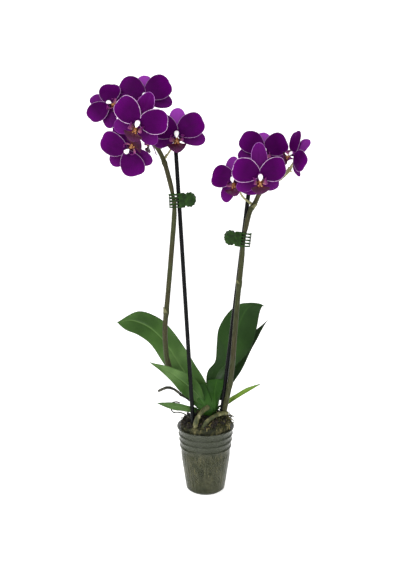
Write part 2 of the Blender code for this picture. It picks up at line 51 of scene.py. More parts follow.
# %% [markdown]
# ## One function for colours and one for shader nodes
#
# Colours are written the way a paint chart gives them, in sRGB hex, and a shader needs
# them as linear light. Every node goes through the same small function: numbers and
# colours are put straight on its sockets, and outputs of other nodes are linked to them.

# %% Colours and nodes


def colour(code):
    """Linear RGBA of an sRGB hex code."""
    channels = [int(code[i : i + 2], 16) / 255 for i in (1, 3, 5)]
    linear = [c / 12.92 if c <= 0.04045 else ((c + 0.055) / 1.055) ** 2.4 for c in channels]
    return (*linear, 1.0)


# what these kinds of node are set to when a cell says nothing else
USUAL = {"Mix": {"data_type": "RGBA"}, "Math": {"operation": "MULTIPLY"}}
USUAL["VectorMath"] = USUAL["Math"]


def add(tree, kind, sockets=(), stops=None, **settings):
    """Adds a node and returns its first output.

    sockets are numbers, hex colours or outputs: by name, or as a list in the node's order.
    """
    node = tree.nodes.new("ShaderNode" + kind)
    for key, value in (USUAL.get(kind, {}) | settings).items():
        setattr(node, key, value)
    if not isinstance(sockets, dict):
        in_use = [i for i, socket in enumerate(node.inputs) if socket.enabled]
        sockets = dict(zip(in_use, sockets))
    for key, value in sockets.items():
        if isinstance(value, bpy.types.NodeSocket):
            tree.links.new(value, node.inputs[key])
        else:
            node.inputs[key].default_value = colour(value) if isinstance(value, str) else value
    if stops:
        ramp = node.color_ramp
        while len(ramp.elements) < len(stops):
            ramp.elements.new(1.0)
        for element, (place, code) in zip(ramp.elements, stops):
            element.position = place
            element.color = colour(code)
    return next((output for output in node.outputs if output.enabled), None)


def new_material(name):
    """An empty material and its node tree."""
    made = bpy.data.materials.new(name)
    made.use_nodes = True
    made.node_tree.nodes.clear()
    return made, made.node_tree


def finish_with(tree, sockets):
    """Ends a material with a Principled surface that has these sockets."""
    add(tree, "OutputMaterial", {"Surface": add(tree, "BsdfPrincipled", sockets)})


def value_of(tree, name):
    """The number that a mesh carries under this name, as a node output."""
    return add(tree, "Attribute", attribute_name=name).node.outputs["Fac"]


def millimetres(tree, scale=(1.0, 1.0, 1.0)):
    """Object coordinates in millimetres, times scale along each axis."""
    place = add(tree, "TexCoord").node.outputs["Object"]
    return add(tree, "VectorMath", [place, [1000 * s for s in scale]])


print("colour check, mid grey:", [round(c, 3) for c in colour("#808080")])

# %% [markdown]
# ## Mesh helpers
#
# Petals, leaves and bracts are all thin sheets, so one function turns a grid of points
# into a closed sheet with a front, a back and a rim. Stems, roots and wires are tubes.
# Each mesh carries numbers for its finish: how far a point is from the margin, how far
# along the organ it lies, and which side of the sheet it is on.

# %% Mesh helpers


def grid_faces(rows, columns, closed=False):
    """Quads over a grid of points; closed joins the last column to the first."""
    faces = []
    for r in range(rows - 1):
        for c in range(columns if closed else columns - 1):
            n = (c + 1) % columns
            low, high = r * columns, (r + 1) * columns
            faces.append((low + c, low + n, high + n, high + c))
    return faces


def mesh_object(name, points, faces, material):
    """A smooth mesh object from points in mm."""
    mesh = bpy.data.meshes.new(name)
    mesh.from_pydata((points * MM).tolist(), [], faces)
    mesh.shade_smooth()
    mesh.materials.append(material)
    made = bpy.data.objects.new(name, mesh)
    scene.collection.objects.link(made)
    return made


def build(name, parts, material, body="root", replaced=()):
    """One object from parts, each (points in mm, faces, {attribute: value for each point})."""
    points, faces = [], []
    carried = {key: [] for _, _, values in parts for key in values}
    for part_points, part_faces, values in parts:
        start = sum(len(p) for p in points)
        points.append(np.asarray(part_points, float).reshape(-1, 3))
        faces += [tuple(start + i for i in face) for face in part_faces]
        for key, lists in carried.items():
            lists.append(np.broadcast_to(values.get(key, 0.0), len(points[-1])))
    made = mesh_object(name, np.concatenate(points), faces, material)
    for key, values in carried.items():
        layer = made.data.attributes.new(key, "FLOAT", "POINT")
        layer.data.foreach_set("value", np.concatenate(values).astype(np.float32))
    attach(made, body)
    if replaced:
        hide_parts(*replaced)
    return made


def unit(vectors):
    """Vectors along the last axis, brought to length one."""
    return vectors / (np.linalg.norm(vectors, axis=-1, keepdims=True) + 1e-9)


def grid_normals(grid):
    """Unit normals of a (rows, columns, 3) grid of points."""
    return unit(np.cross(np.gradient(grid, axis=0), np.gradient(grid, axis=1)))


def sheet(grid, thickness, values):
    """A closed sheet: grid is its front, and its back lies thickness behind along -normal."""
    rows, columns = grid.shape[:2]
    back = grid - grid_normals(grid) * np.asarray(thickness)[..., None]
    count = rows * columns
    front_faces = [f[::-1] for f in grid_faces(rows, columns)]
    back_faces = [tuple(count + i for i in f) for f in grid_faces(rows, columns)]
    rim = list(range(columns))
    rim += [r * columns + columns - 1 for r in range(1, rows)]
    rim += [count - 1 - c for c in range(1, columns)]
    rim += [r * columns for r in range(rows - 2, 0, -1)]
    sides = []
    for a, b in zip(rim, rim[1:] + rim[:1]):
        sides.append((a, b, count + b, count + a))
    carried = {key: np.tile(np.asarray(value, float).ravel(), 2) for key, value in values.items()}
    carried["back"] = np.repeat([0.0, 1.0], count)
    points = np.concatenate([grid.reshape(-1, 3), back.reshape(-1, 3)])
    return points, front_faces + back_faces + sides, carried


def curve(points, count):
    """count points along a Catmull-Rom curve, evenly spread over the given points."""
    p = np.array(points, float)
    p = np.vstack([2 * p[0] - p[1], p, 2 * p[-1] - p[-2]])
    place = np.linspace(0, len(points) - 1 - 1e-9, count)
    i = place.astype(int) + 1
    t = (place - place.astype(int))[:, None]
    return 0.5 * (2 * p[i] + (p[i + 1] - p[i - 1]) * t + (
        2 * p[i - 1] - 5 * p[i] + 4 * p[i + 1] - p[i + 2]
    ) * t**2 + (3 * p[i] - p[i - 1] - 3 * p[i + 1] + p[i + 2]) * t**3)


def tube(route, radii, sides=14, bumps=0.0, seed=0.0):
    """A closed tube with rounded ends. bumps roughens its skin by about that many mm."""
    route = np.asarray(route, float)
    radii = np.broadcast_to(radii, len(route)).astype(float).copy()
    first, last = unit(route[0] - route[1]), unit(route[-1] - route[-2])
    start, end = route[0] + first * radii[0] * 0.6, route[-1] + last * radii[-1] * 0.6
    route = np.vstack([start, route, end])
    radii = np.concatenate([[radii[0] * 0.45], radii, [radii[-1] * 0.45]])
    tangents = unit(np.gradient(route, axis=0))
    side = np.cross(tangents[0], [0.3, 0.5, 0.81])
    rings = []
    for centre, tangent, radius in zip(route, tangents, radii):
        side = unit(side - tangent * side.dot(tangent))
        other = np.cross(tangent, side)
        for k in range(sides):
            angle = 2 * math.pi * k / sides
            out = side * math.cos(angle) + other * math.sin(angle)
            grown = radius
            if bumps:
                spot = Vector(centre + out * radius) * 0.35 + Vector((seed, 0, 0))
                grown += bumps * noise.noise(spot)
            rings.append(centre + out * grown)
    length = np.concatenate([[0], np.cumsum(np.linalg.norm(np.diff(route, axis=0), axis=1))])
    faces = grid_faces(len(route), sides, closed=True)
    faces.append(tuple(range(sides))[::-1])
    start = (len(route) - 1) * sides
    faces.append(tuple(range(start, start + sides)))
    return np.array(rings), faces, {"share": np.repeat(length / length[-1], sides)}


def lathe(profile, sides, ripple=None):
    """A closed body turned about Z from (radius, height); ripple(angle, height) adds to radius."""
    points = []
    for radius, height in profile:
        for k in range(sides):
            angle = 2 * math.pi * k / sides
            r = radius + (ripple(angle, height) if ripple and radius > 1 else 0.0)
            points.append((r * math.cos(angle), r * math.sin(angle), height))
    return np.array(points), grid_faces(len(profile), sides, closed=True), {}


def lump(rng, centre, size, boxy=0.5, rough=0.25, segments=12, rings=8):
    """An irregular lump, such as a chip of bark: a squared-off ball with a broken skin."""
    spin = rng.normal(size=(3, 3))
    axes, _ = np.linalg.qr(spin)
    shift = Vector(rng.uniform(0, 50, 3))
    points = []
    for i in range(rings + 1):
        up = math.pi * i / rings
        for k in range(segments):
            turn = 2 * math.pi * k / segments
            flat = np.array([math.cos(turn), math.sin(turn)]) * math.sin(up)
            ball = np.array([*flat, math.cos(up)])
            squared = np.sign(ball) * np.abs(ball) ** boxy
            squared *= 1 + rough * noise.noise(Vector(squared) * 1.7 + shift)
            points.append(centre + axes @ (squared * size))
    return np.array(points), grid_faces(rings + 1, segments, closed=True), {"tone": rng.uniform()}


print("mesh helpers ready: sheet, tube, lathe and lump")

# %% [markdown]
# ## Floor, light and camera
#
# A plant like this is usually pictured in even light on a plain white sweep. Two large
# soft boxes give the leaves their long pale reflections, and a bright world keeps the
# violet petals from going black. The sweep glows a little, as one lit from behind does,
# and that is what turns it pure white around the plant and wipes out its shadow.

# %% Floor, light and camera
paper, tree = new_material("back-lit white studio sweep")
# matt paper shows almost no reflection, and its faint tooth breaks up the light
tooth = add(tree, "TexNoise", {"Vector": millimetres(tree), "Scale": 0.4, "Detail": 4.0})
tint = add(tree, "ValToRGB", [tooth], [(0.3, "#f4f4f3"), (0.7, "#fbfbfa")])
relief = add(tree, "Bump", {"Height": tooth, "Strength": 0.05, "Distance": 0.0001})
finish_with(tree, {
    "Base Color": tint, "Roughness": 0.9, "IOR": 1.45, "Emission Color": tint,
    "Emission Strength": 0.85, "Normal": relief
})
# a round floor, 3 m to the edge, that curves up into a low wall on every side
FLOOR_RADIUS, SWEEP_RADIUS, FLAT_SHARE = 3000, 900, 0.7
profile = []
for run in np.linspace(0, 1, 48):
    bend = max(0.0, (run - FLAT_SHARE) / (1 - FLAT_SHARE)) * math.pi / 2
    radius = FLOOR_RADIUS * min(run / FLAT_SHARE, 1.0) + SWEEP_RADIUS * math.sin(bend) + 1
    profile.append((radius, SWEEP_RADIUS * (1 - math.cos(bend)) - 0.05))
points, faces, _ = lathe(profile, 72)
floor = mesh_object("floor", points, [face[::-1] for face in faces], paper)

world = bpy.data.worlds.new("even white room")
world.use_nodes = True
background = world.node_tree.nodes["Background"].inputs
background["Color"].default_value = colour("#ffffff")
background["Strength"].default_value = 0.38
scene.world = world
scene.view_settings.view_transform = "Standard"


def soft_box(name, place, aim, size, watts):
    """A square area light at place, in metres, turned towards aim."""
    light = bpy.data.lights.new(name, "AREA")
    light.energy = watts
    light.size = size
    made = bpy.data.objects.new(name, light)
    made.location = place
    made.rotation_euler = (Vector(aim) - Vector(place)).to_track_quat("-Z", "Y").to_euler()
    scene.collection.objects.link(made)


soft_box("key soft box", (-0.9, -1.3, 1.5), (0, 0, 0.25), 0.9, 26)
soft_box("fill soft box", (1.2, -0.9, 0.9), (0, 0, 0.3), 0.8, 4)

camera = bpy.data.objects.new("camera", bpy.data.cameras.new("camera"))
camera.location = (-0.007, -1.049, 0.516)
camera.rotation_euler = (math.radians(76.5), 0, 0)
camera.data.lens = 56.84
camera.data.sensor_width = 36
scene.collection.objects.link(camera)
scene.camera = camera
print("floor", [round(d, 2) for d in floor.dimensions], "m; camera lens", camera.data.lens)

# %% [markdown]
# ## Where each flower sits
#
# The frame already holds a column, a lip, a ring of sepals and a pair of petals for each
# flower. The column is a round post, so its long axis is the direction that the flower
# faces. The lip hangs below it, which tells which way is up in a flower that has rolled
# over on its stalk.

# %% Flower frames from the CAD
LETTERS = "abcdefghij"
# degrees from the top sepal to each side sepal, the top sepal's length,
# and how many degrees the petals are raised
SIDE_SEPALS = dict(zip(LETTERS, (108, 128, 122, 108, 108, 128, 106, 132, 132, 118)))
TOP_LENGTH = dict(zip(LETTERS, (24, 32, 28, 28, 28, 29, 22.5, 34, 29, 29)))
PETAL_RISE = dict(zip(LETTERS, (24, 20, 20, 20, 24, 23, 24, 14, 20, 20)))
COLUMN_ENDS = (1.9, 9.6)


def cad_points(node):
    """The corners of a CAD node in mm, each once."""
    points = np.array([v.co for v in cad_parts[node].data.vertices]) / MM
    return np.unique(np.round(points, 3), axis=0)


def long_axis(points):
    """The middle of some points and the direction along which they are longest."""
    middle = points.mean(axis=0)
    _, _, axes = np.linalg.svd(points - middle)
    return middle, axes[0]


def flower_axes(letter):
    """(origin, 3 x 3 axes as columns, size) of a flower: X right, Y up, Z forward."""
    column = cad_points(f"flower_{letter}_column")
    middle, forward = long_axis(column)
    if forward @ (middle - cad_points(f"flower_{letter}_sepals").mean(axis=0)) < 0:
        forward = -forward
    reach = (column - middle) @ forward
    size = (reach.max() - reach.min()) / (COLUMN_ENDS[1] - COLUMN_ENDS[0])
    origin = middle + forward * (reach.min() - COLUMN_ENDS[0] * size)
    down = cad_points(f"flower_{letter}_lip").mean(axis=0) - origin
    down -= forward * (down @ forward)
    up = unit(-down)
    return origin, np.column_stack([np.cross(up, forward), up, forward]), size


FLOWER_AXES = {letter: flower_axes(letter) for letter in LETTERS}
for letter, (origin, axes, size) in FLOWER_AXES.items():
    print("flower", letter, "at", origin.round(1), "faces", axes[:, 2].round(2), round(size, 2))

# %% [markdown]
# ## Petal tissue
#
# A moth orchid's tepals are soft and a little waxy. The violet sits in the outer cells,
# darkest along the veins and near the middle, while the very edge is thin and nearly
# without pigment, so each one wears a fine pale line. The backs are lighter. A little
# subsurface light gives the eye velvet instead of plastic.

# %% Petal finish


def petal_tissue(name, deep, bright, pale, rim_mm, back_share):
    """Tepal tissue. rim_mm is how wide the pale margin is; back_share lightens the back."""
    made, tree = new_material(name)
    edge, along = value_of(tree, "edge"), value_of(tree, "along")
    vein, back, tone = value_of(tree, "vein"), value_of(tree, "back"), value_of(tree, "tone")
    # veins fan out from the claw: about one every 1.3 mm at the widest place
    grain = add(tree, "TexNoise", {"Vector": millimetres(tree), "Scale": 0.35, "Detail": 3.0})
    wander = add(tree, "Math", [grain, 2.2, vein], operation="MULTIPLY_ADD")
    stripe = add(tree, "Math", [wander, 5.0])
    wave = add(tree, "Math", [stripe], operation="SINE")
    veins = add(tree, "MapRange", [wave, 0.55, 1.0, 0.0, 1.0], interpolation_type="SMOOTHSTEP")
    body = add(tree, "ValToRGB", [along], [(0.0, deep), (0.55, deep), (1.0, bright)])
    cloud = add(tree, "TexNoise", {"Vector": millimetres(tree), "Scale": 0.09, "Detail": 2.0})
    cloudy = add(tree, "MapRange", [cloud, 0.35, 0.7, 0.0, 0.25])
    body = add(tree, "Mix", [cloudy, body, bright])
    veined = add(tree, "Math", [veins, 0.30])
    body = add(tree, "Mix", [veined, body, "#380040"])
    lighter = add(tree, "Math", [back, back_share])
    # tone paints the sepals lighter: painted light shining through them, strongest on the top sepal
    lighter = add(tree, "Math", [lighter, tone], operation="ADD")
    body = add(tree, "Mix", [lighter, body, "#a345b8"])
    ragged = add(tree, "Math", [grain, -0.9, edge], operation="MULTIPLY_ADD")
    pale_share = value_of(tree, "rim")
    span = [ragged, -0.45, rim_mm - 0.45, pale_share, 0.0]
    rim = add(tree, "MapRange", span, interpolation_type="SMOOTHSTEP")
    body = add(tree, "Mix", [rim, body, pale])
    cells = add(tree, "TexVoronoi", {"Vector": millimetres(tree), "Scale": 2.2})
    height = add(tree, "Math", [veins, -0.6, cells], operation="MULTIPLY_ADD")
    relief = add(tree, "Bump", {"Height": height, "Strength": 0.35, "Distance": 0.0002})
    finish_with(tree, {
        "Base Color": body, "Roughness": 0.5, "IOR": 1.4, "Specular IOR Level": 0.04,
        "Subsurface Weight": 0.1, "Subsurface Radius": (0.004, 0.001, 0.004),
        "Subsurface Scale": 0.3, "Normal": relief
    })
    return made


PETAL = petal_tissue("violet petal tissue", "#3a0040", "#52005c", "#e6c0e8", 0.75, 0.3)
SEPAL = petal_tissue("violet sepal tissue", "#3e0042", "#54045e", "#b878c8", 0.6, 0.4)
print("petal and sepal tissue made")

# %% [markdown]
# ## Sepals and petals
#
# Three narrow sepals stand behind two broad petals. Each petal is nearly square with
# rounded corners and stands on a narrow claw. The sheets are less than a millimetre
# thick, thinner still at the edge, hollowed a little along the midrib and gently waved
# round the margin, which is what catches the light in real flowers.

# %% Sepals and petals


def blade(length, half_width, waist, squareness, fuller, rows=34, columns=23):
    """A tepal lying flat: (along, across) grids, the distance to its margin, and (u, v).

    fuller is how much wider its upper half is than its lower half, as a share.
    """
    theta = np.linspace(0.30, math.pi - 0.05, rows)[:, None]
    v = np.sin(np.linspace(-math.pi / 2, math.pi / 2, columns))[None, :]
    u = 0.5 - 0.5 * np.cos(theta)
    width = half_width * np.sin(theta) ** squareness * (1 - waist * (1 - u) ** 3)
    width = width * (1 + fuller * np.sign(v))
    along = length * u + 0 * v
    across = width * v
    sheet_points = np.stack([along, across], 2)
    outline = np.concatenate([sheet_points[:, 0], sheet_points[:, -1], sheet_points[-1]])
    steps = sheet_points[:, :, None] - outline
    edge = np.linalg.norm(steps, axis=3).min(axis=2)
    return along, across, edge, u + 0 * v, v + 0 * u


def petal_height(x, y):
    return 1.4 + 0.13 * np.abs(x) - 0.0062 * (x * x + y * y)


def sepal_height(x, y):
    return -0.5 - 0.0068 * (x * x + y * y)


def tepal(rng, place, direction, length, half_width, form, height, lift, tone, rim):
    """One sepal or petal that grows towards direction, in degrees, as a closed sheet."""
    origin, axes, size = place
    along, across, edge, u, v = blade(length, half_width, *form)
    turn = math.radians(direction + rng.normal(0, 1.2))
    # a slightly uneven outline, different on every tepal
    a, b, c = rng.uniform(0, 2 * math.pi, 3)
    swell = 1 + 0.035 * np.sin(3 * u + a) * u + 0.035 * np.sin(6 * u + b) * np.sign(v) * u
    across = across * swell
    x = along * math.cos(turn) - across * math.sin(turn)
    y = along * math.sin(turn) + across * math.cos(turn)
    z = height(x, y) + lift
    z += 0.75 * np.sin(9 * u * np.sign(v) + c) * np.abs(v) ** 3 * u
    z -= 0.55 * np.exp(-((across / 1.1) ** 2)) * np.sin(math.pi * u) ** 0.5
    z += 0.5 * (np.abs(v) ** 2) * np.sin(math.pi * u)
    z -= 1.3 * np.clip(u - 0.8, 0, 1) * 5 * rng.uniform(0.2, 1.0)
    grid = origin + size * (np.stack([x, y, z], 2) @ axes.T)
    thickness = (0.16 + 0.5 * np.clip(edge / 3.0, 0, 1)) * size
    fan = across / (half_width * 0.13) / (0.35 + 0.65 * np.sin(math.pi * u * 0.5))
    values = {"edge": edge, "along": u, "vein": fan, "tone": np.full(u.shape, tone)}
    values["rim"] = np.full(u.shape, rim)
    return sheet(grid, thickness, values)


# how strong the pale margin of each flower is
PALE_RIM = dict(zip(LETTERS, (0.3, 1.0, 0.5, 0.45, 0.4, 0.4, 0.3, 0.95, 0.5, 0.6)))
# how much lighter the top sepal of each flower is, as light shines through it
TOP_TONE = dict(zip(LETTERS, (0.6, 0.0, 0.1, 0.0, 0.6, 0.3, 0.6, 0.05, 0.3, 0.25)))
for index, letter in enumerate(LETTERS):
    place = FLOWER_AXES[letter]
    rng = np.random.default_rng(100 + index)
    spread, rise = SIDE_SEPALS[letter], PETAL_RISE[letter]
    narrow = (0.15, 0.95, 0.0)
    top, tone, rim = TOP_LENGTH[letter], TOP_TONE[letter], PALE_RIM[letter]
    parts = [
        tepal(rng, place, 90, top, 9.6, narrow, sepal_height, 0.0, tone, rim),
        tepal(rng, place, 90 + spread, 30.5, 9.6, narrow, sepal_height, -0.25, 0.04, 0.3),
        tepal(rng, place, 90 - spread, 30.5, 9.6, narrow, sepal_height, -0.5, 0.04, 0.3)
    ]
    name = f"flower_{letter}_sepals"
    build(f"sepals_{letter}", parts, SEPAL, replaced=[name])
    parts = []
    for way, fuller, lift in ((rise, 0.09, 0.0), (180 - rise, -0.09, 0.12)):
        broad = (0.5, 0.58, fuller)
        parts.append(tepal(rng, place, way, 31, 14.6, broad, petal_height, lift, 0.0, rim))
    name = f"flower_{letter}_petals"
    build(f"petals_{letter}", parts, PETAL, replaced=[name])

# %% [markdown]
# ## Lip and column
#
# The lip is the sixth tepal, made over into a landing place for insects. It has two ears
# that stand up beside the column, a warty orange-brown callus between them, and a thick
# anchor-shaped middle lobe in front. The column above it carries the pollen under a
# smooth white cap, with the dark sticky stigma in a hollow below.

# %% Lip and column
lip_skin, tree = new_material("maroon lip with orange callus")
part, share = value_of(tree, "part"), value_of(tree, "along")
freckle = add(tree, "TexVoronoi", {"Vector": millimetres(tree), "Scale": 1.1})
cloud = add(tree, "TexNoise", {"Vector": millimetres(tree), "Scale": 0.5, "Detail": 3.0})
middle = add(tree, "ValToRGB", [share], [
    (0.0, "#6a3418"), (0.25, "#4c1218"), (0.6, "#360624"), (1.0, "#4e0a48")
])
ear = add(tree, "ValToRGB", [share], [
    (0.0, "#b88474"), (0.4, "#944880"), (0.8, "#5c1058"), (1.0, "#7c2876")
])
callus = add(tree, "ValToRGB", [freckle], [(0.2, "#4a1c0c"), (0.45, "#8a4c1a"), (0.8, "#cda273")])
is_ear = add(tree, "MapRange", [part, 0.4, 0.6, 0.0, 1.0])
is_callus = add(tree, "MapRange", [part, 1.4, 1.6, 0.0, 1.0])
skin = add(tree, "Mix", [is_ear, middle, ear])
skin = add(tree, "Mix", [is_callus, skin, callus])
dark = add(tree, "MapRange", [cloud, 0.45, 0.65, 0.0, 0.5])
skin = add(tree, "Mix", [dark, skin, "#2d0420"])
relief = add(tree, "Bump", {"Height": freckle, "Strength": 0.5, "Distance": 0.0003})
finish_with(tree, {
    "Base Color": skin, "Roughness": 0.3, "IOR": 1.4, "Specular IOR Level": 0.2,
    "Subsurface Weight": 0.1, "Subsurface Radius": (0.003, 0.001, 0.002),
    "Subsurface Scale": 0.3, "Normal": relief
})
cap_skin, tree = new_material("white column with violet foot")
foot = add(tree, "ValToRGB", [value_of(tree, "along")], [
    (0.0, "#4c0a50"), (0.55, "#7a2a80"), (0.68, "#d8b4d8"), (0.76, "#fbf6f6")
])
speck = add(tree, "TexNoise", {"Vector": millimetres(tree), "Scale": 1.4, "Detail": 3.0})
stain = add(tree, "MapRange", [speck, 0.62, 0.75, 0.0, 0.5])
foot = add(tree, "Mix", [stain, foot, "#c78ac6"])
hollow = value_of(tree, "hollow")
foot = add(tree, "Mix", [hollow, foot, "#4d1030"])
relief = add(tree, "Bump", {"Height": speck, "Strength": 0.2, "Distance": 0.0002})
finish_with(tree, {
    "Base Color": foot, "Roughness": 0.35, "IOR": 1.4, "Subsurface Weight": 0.25,
    "Subsurface Radius": (0.003, 0.002, 0.002), "Subsurface Scale": 0.4, "Normal": relief
})


def placed(points, place):
    """Points of a flower's own axes, in mm, brought to the plant's."""
    origin, axes, size = place
    return origin + size * (np.asarray(points) @ axes.T)


def middle_lobe(place, rng):
    """The anchor: narrow at its base, widest past the middle, with a drawn-out tip."""
    u = np.linspace(0, 1, 30)[:, None]
    v = np.sin(np.linspace(-math.pi / 2, math.pi / 2, 25))[None, :]
    places, widths = [0, 0.3, 0.46, 0.6, 0.7, 0.84, 0.94, 1], [2.8, 3, 6.4, 10, 10.6, 8.4, 4.8, 1.6]
    wide = np.interp(u, places, widths)
    x = wide * v
    y = -6.5 - 15.0 * u + 0.035 * x**2
    z = 4.2 + 3.2 * np.sin(math.pi * 0.8 * u) + 0.035 * x**2 * u + 0.9 * np.exp(-((x / 1.4) ** 2))
    z += 0.3 * np.sin(7 * u + 3 * v + rng.uniform(0, 6))
    edge = wide * (1 - np.abs(v))
    grid = placed(np.stack([x, y, z], 2), place)
    thickness = 0.5 + 0.7 * np.clip(edge / 2, 0, 1)
    values = {"along": u + 0 * v, "part": 0 * u * v}
    return sheet(grid, thickness, values)


def ear_lobe(place, side, rng):
    """One ear: a cupped wing that rises beside the column and leans in at the top."""
    u = np.linspace(0.02, 1, 22)[:, None]
    v = np.sin(np.linspace(-math.pi / 2, math.pi / 2, 17))[None, :]
    wide = 5.2 * np.sin(math.pi * np.clip(u * 0.86 + 0.1, 0, 1)) ** 0.8
    across = wide * v
    x = side * (2.4 + 4.6 * np.sin(u * 2.0) - 1.3 * u**3 + 0.05 * across**2)
    y = -8.2 + 5.4 * u - 0.55 * across
    z = 3.6 + 4.4 * u + 0.75 * across + 0.25 * np.sin(5 * v + rng.uniform(0, 6))
    edge = wide * (1 - np.abs(v))
    grid = placed(np.stack([x, y, z], 2)[:, ::-side], place)
    thickness = 0.35 + 0.35 * np.clip(edge / 2, 0, 1)
    values = {"along": u + 0 * v, "part": 1.0 + 0 * u * v}
    return sheet(grid, thickness, values)


def callus_lumps(place, rng):
    """The warty pad at the base of the lip, with two teeth that point forwards."""
    made = []
    for x, y, z, size in (
        (0, -8.8, 6.2, (2.1, 2.2, 1.5)), (-1.6, -11.0, 7.2, (1.0, 1.3, 1.1)),
        (1.6, -11.0, 7.2, (1.0, 1.3, 1.1)), (0, -6.2, 5.2, (1.6, 1.5, 1.2))
    ):
        points, faces, _ = lump(rng, np.zeros(3), np.array(size), boxy=0.9, rough=0.5)
        made.append((placed(points + (x, y, z), place), faces, {"part": 2.0, "along": 0.5}))
    return made


def column_body(place):
    """The column: an arched post that ends in a drop-shaped cap hanging over the lip."""
    rows, sides = 26, 22
    points, share, hollow = [], [], []
    places, radii = [0, 0.3, 0.5, 0.72, 0.9, 0.97, 1], [2.3, 1.8, 1.9, 2.6, 2.3, 1.4, 0.1]
    for i in range(rows):
        t = i / (rows - 1)
        # the post rises a little, leans forward, and bows over at the end
        centre = np.array([0, 1.2 * math.sin(t * 2.6) - 4.2 * t**3, 0.6 + 8.6 * t - 0.9 * t**5])
        radius = float(np.interp(t, places, radii))
        for k in range(sides):
            turn = 2 * math.pi * k / sides
            dx = math.cos(turn) * radius * (1.0 + 0.22 * t * math.sin(turn))
            dy = math.sin(turn) * radius
            stigma = math.exp(-((t - 0.62) / 0.10) ** 2) * max(0.0, -math.sin(turn)) ** 2
            dy += 1.5 * stigma
            # the cap runs out to a blunt beak below
            dy -= 1.5 * math.exp(-((t - 0.84) / 0.10) ** 2) * max(0.0, -math.sin(turn)) ** 4
            points.append(centre + (dx, dy, 0))
            share.append(t)
            hollow.append(min(1.0, 1.2 * stigma))
    faces = grid_faces(rows, sides, closed=True)
    faces.append(tuple(range(sides))[::-1])
    values = {"along": np.array(share), "hollow": np.array(hollow)}
    return placed(points, place), faces, values


for index, letter in enumerate(LETTERS):
    place = FLOWER_AXES[letter]
    rng = np.random.default_rng(300 + index)
    parts = [middle_lobe(place, rng), ear_lobe(place, 1, rng), ear_lobe(place, -1, rng)]
    parts += callus_lumps(place, rng)
    build(f"lip_{letter}", parts, lip_skin, replaced=[f"flower_{letter}_lip"])
    name = f"flower_{letter}_column"
    build(f"column_{letter}", [column_body(place)], cap_skin, replaced=[name])
print("lips and columns:", 2 * len(LETTERS))

# %% [markdown]
# ## Flower spikes, stalks and buds
#
# Each spike is a firm round stem, olive below and browner where the sun reaches it, with
# a raised ring and a dry papery bract at every node. The short stalks that carry the
# flowers are paler and thinner, and the tip ends in a few buds that never opened.

# %% Spike finish and routes
stem_skin, tree = new_material("olive orchid stem")
fibre = add(tree, "TexNoise", {
    "Vector": millimetres(tree, (1.0, 1.0, 0.08)), "Scale": 1.6, "Detail": 4.0
})
blush = add(tree, "TexNoise", {"Vector": millimetres(tree), "Scale": 0.03, "Detail": 2.0})
green = add(tree, "ValToRGB", [fibre], [(0.3, "#161c0b"), (0.55, "#242c12"), (0.75, "#394120")])
brown = add(tree, "ValToRGB", [fibre], [(0.3, "#18160b"), (0.55, "#282512"), (0.75, "#3f3a20")])
sunny = add(tree, "MapRange", [blush, 0.4, 0.6, 0.0, 1.0])
stem = add(tree, "Mix", [sunny, green, brown])
pale = add(tree, "ValToRGB", [fibre], [(0.3, "#8c8a56"), (0.6, "#b6b286"), (0.8, "#d8d4b8")])
stem = add(tree, "Mix", [value_of(tree, "pale"), stem, pale])
relief = add(tree, "Bump", {"Height": fibre, "Strength": 0.4, "Distance": 0.0003})
finish_with(tree, {
    "Base Color": stem, "Roughness": 0.42, "IOR": 1.45, "Specular IOR Level": 0.15,
    "Subsurface Weight": 0.08, "Subsurface Radius": (0.002, 0.002, 0.001), "Subsurface Scale": 0.3,
    "Normal": relief
})
# fmt: off
SPIKES = {
    "left": [
        (-6, -1, 118), (-19, 3, 127), (-35, 4, 143), (-46, 3, 163), (-49, -1, 190),
        (-49, -6, 215), (-46, -7, 247), (-41, -6, 302), (-37, -4.4, 354), (-39, -3.4, 374),
        (-44, -2, 396), (-50, 0, 415), (-59, 2, 431), (-69, 2, 443), (-83, 2, 452),
        (-94, 0, 454), (-103, -4, 448),
    ],
    "right": [
        (23.2, -11, 109.5), (25, -11.5, 120), (28, -12, 135), (32, -13, 165),
        (34, -13, 196), (38, -10, 250), (42, -5, 290), (45, -2.6, 322), (51, -1, 351),
        (58, 1, 364), (63, 3, 374), (70, 4, 381), (80, 6, 387), (87, 8, 391), (95, 9, 398),
        (99, 10, 403),
    ],
}
# where each flower's stalk leaves its spike, and the point that it bows through
STALKS = {
    "left": {
        "a": ((-59, 2, 431), (-62, 12, 462)), "b": ((-71, 2, 444), (-75, -20, 450)),
        "c": ((-90, 1, 453.5), (-97, -2, 468)), "d": ((-80, 2, 450), (-84, -8, 440)),
        "e": ((-49, 0, 413), (-38, 0, 430)), "f": ((-45, -1, 399), (-52, 18, 416)),
    },
    "right": {
        "g": ((78, 6, 386), (74, 16, 404)), "h": ((68, 4, 380), (62, -22, 390)),
        "i": ((56, 1, 360), (42, -2, 372)), "j": ((95, 9, 398), (101, 6, 408)),
    },
}
# fmt: on
# nodes of each spike, as shares of its length
NODES = {"left": (0.19, 0.35, 0.52, 0.67, 0.79), "right": (0.15, 0.36, 0.56, 0.72)}
print("spikes run", {side: len(points) for side, points in SPIKES.items()}, "points each")

# %% Spikes, bracts and buds


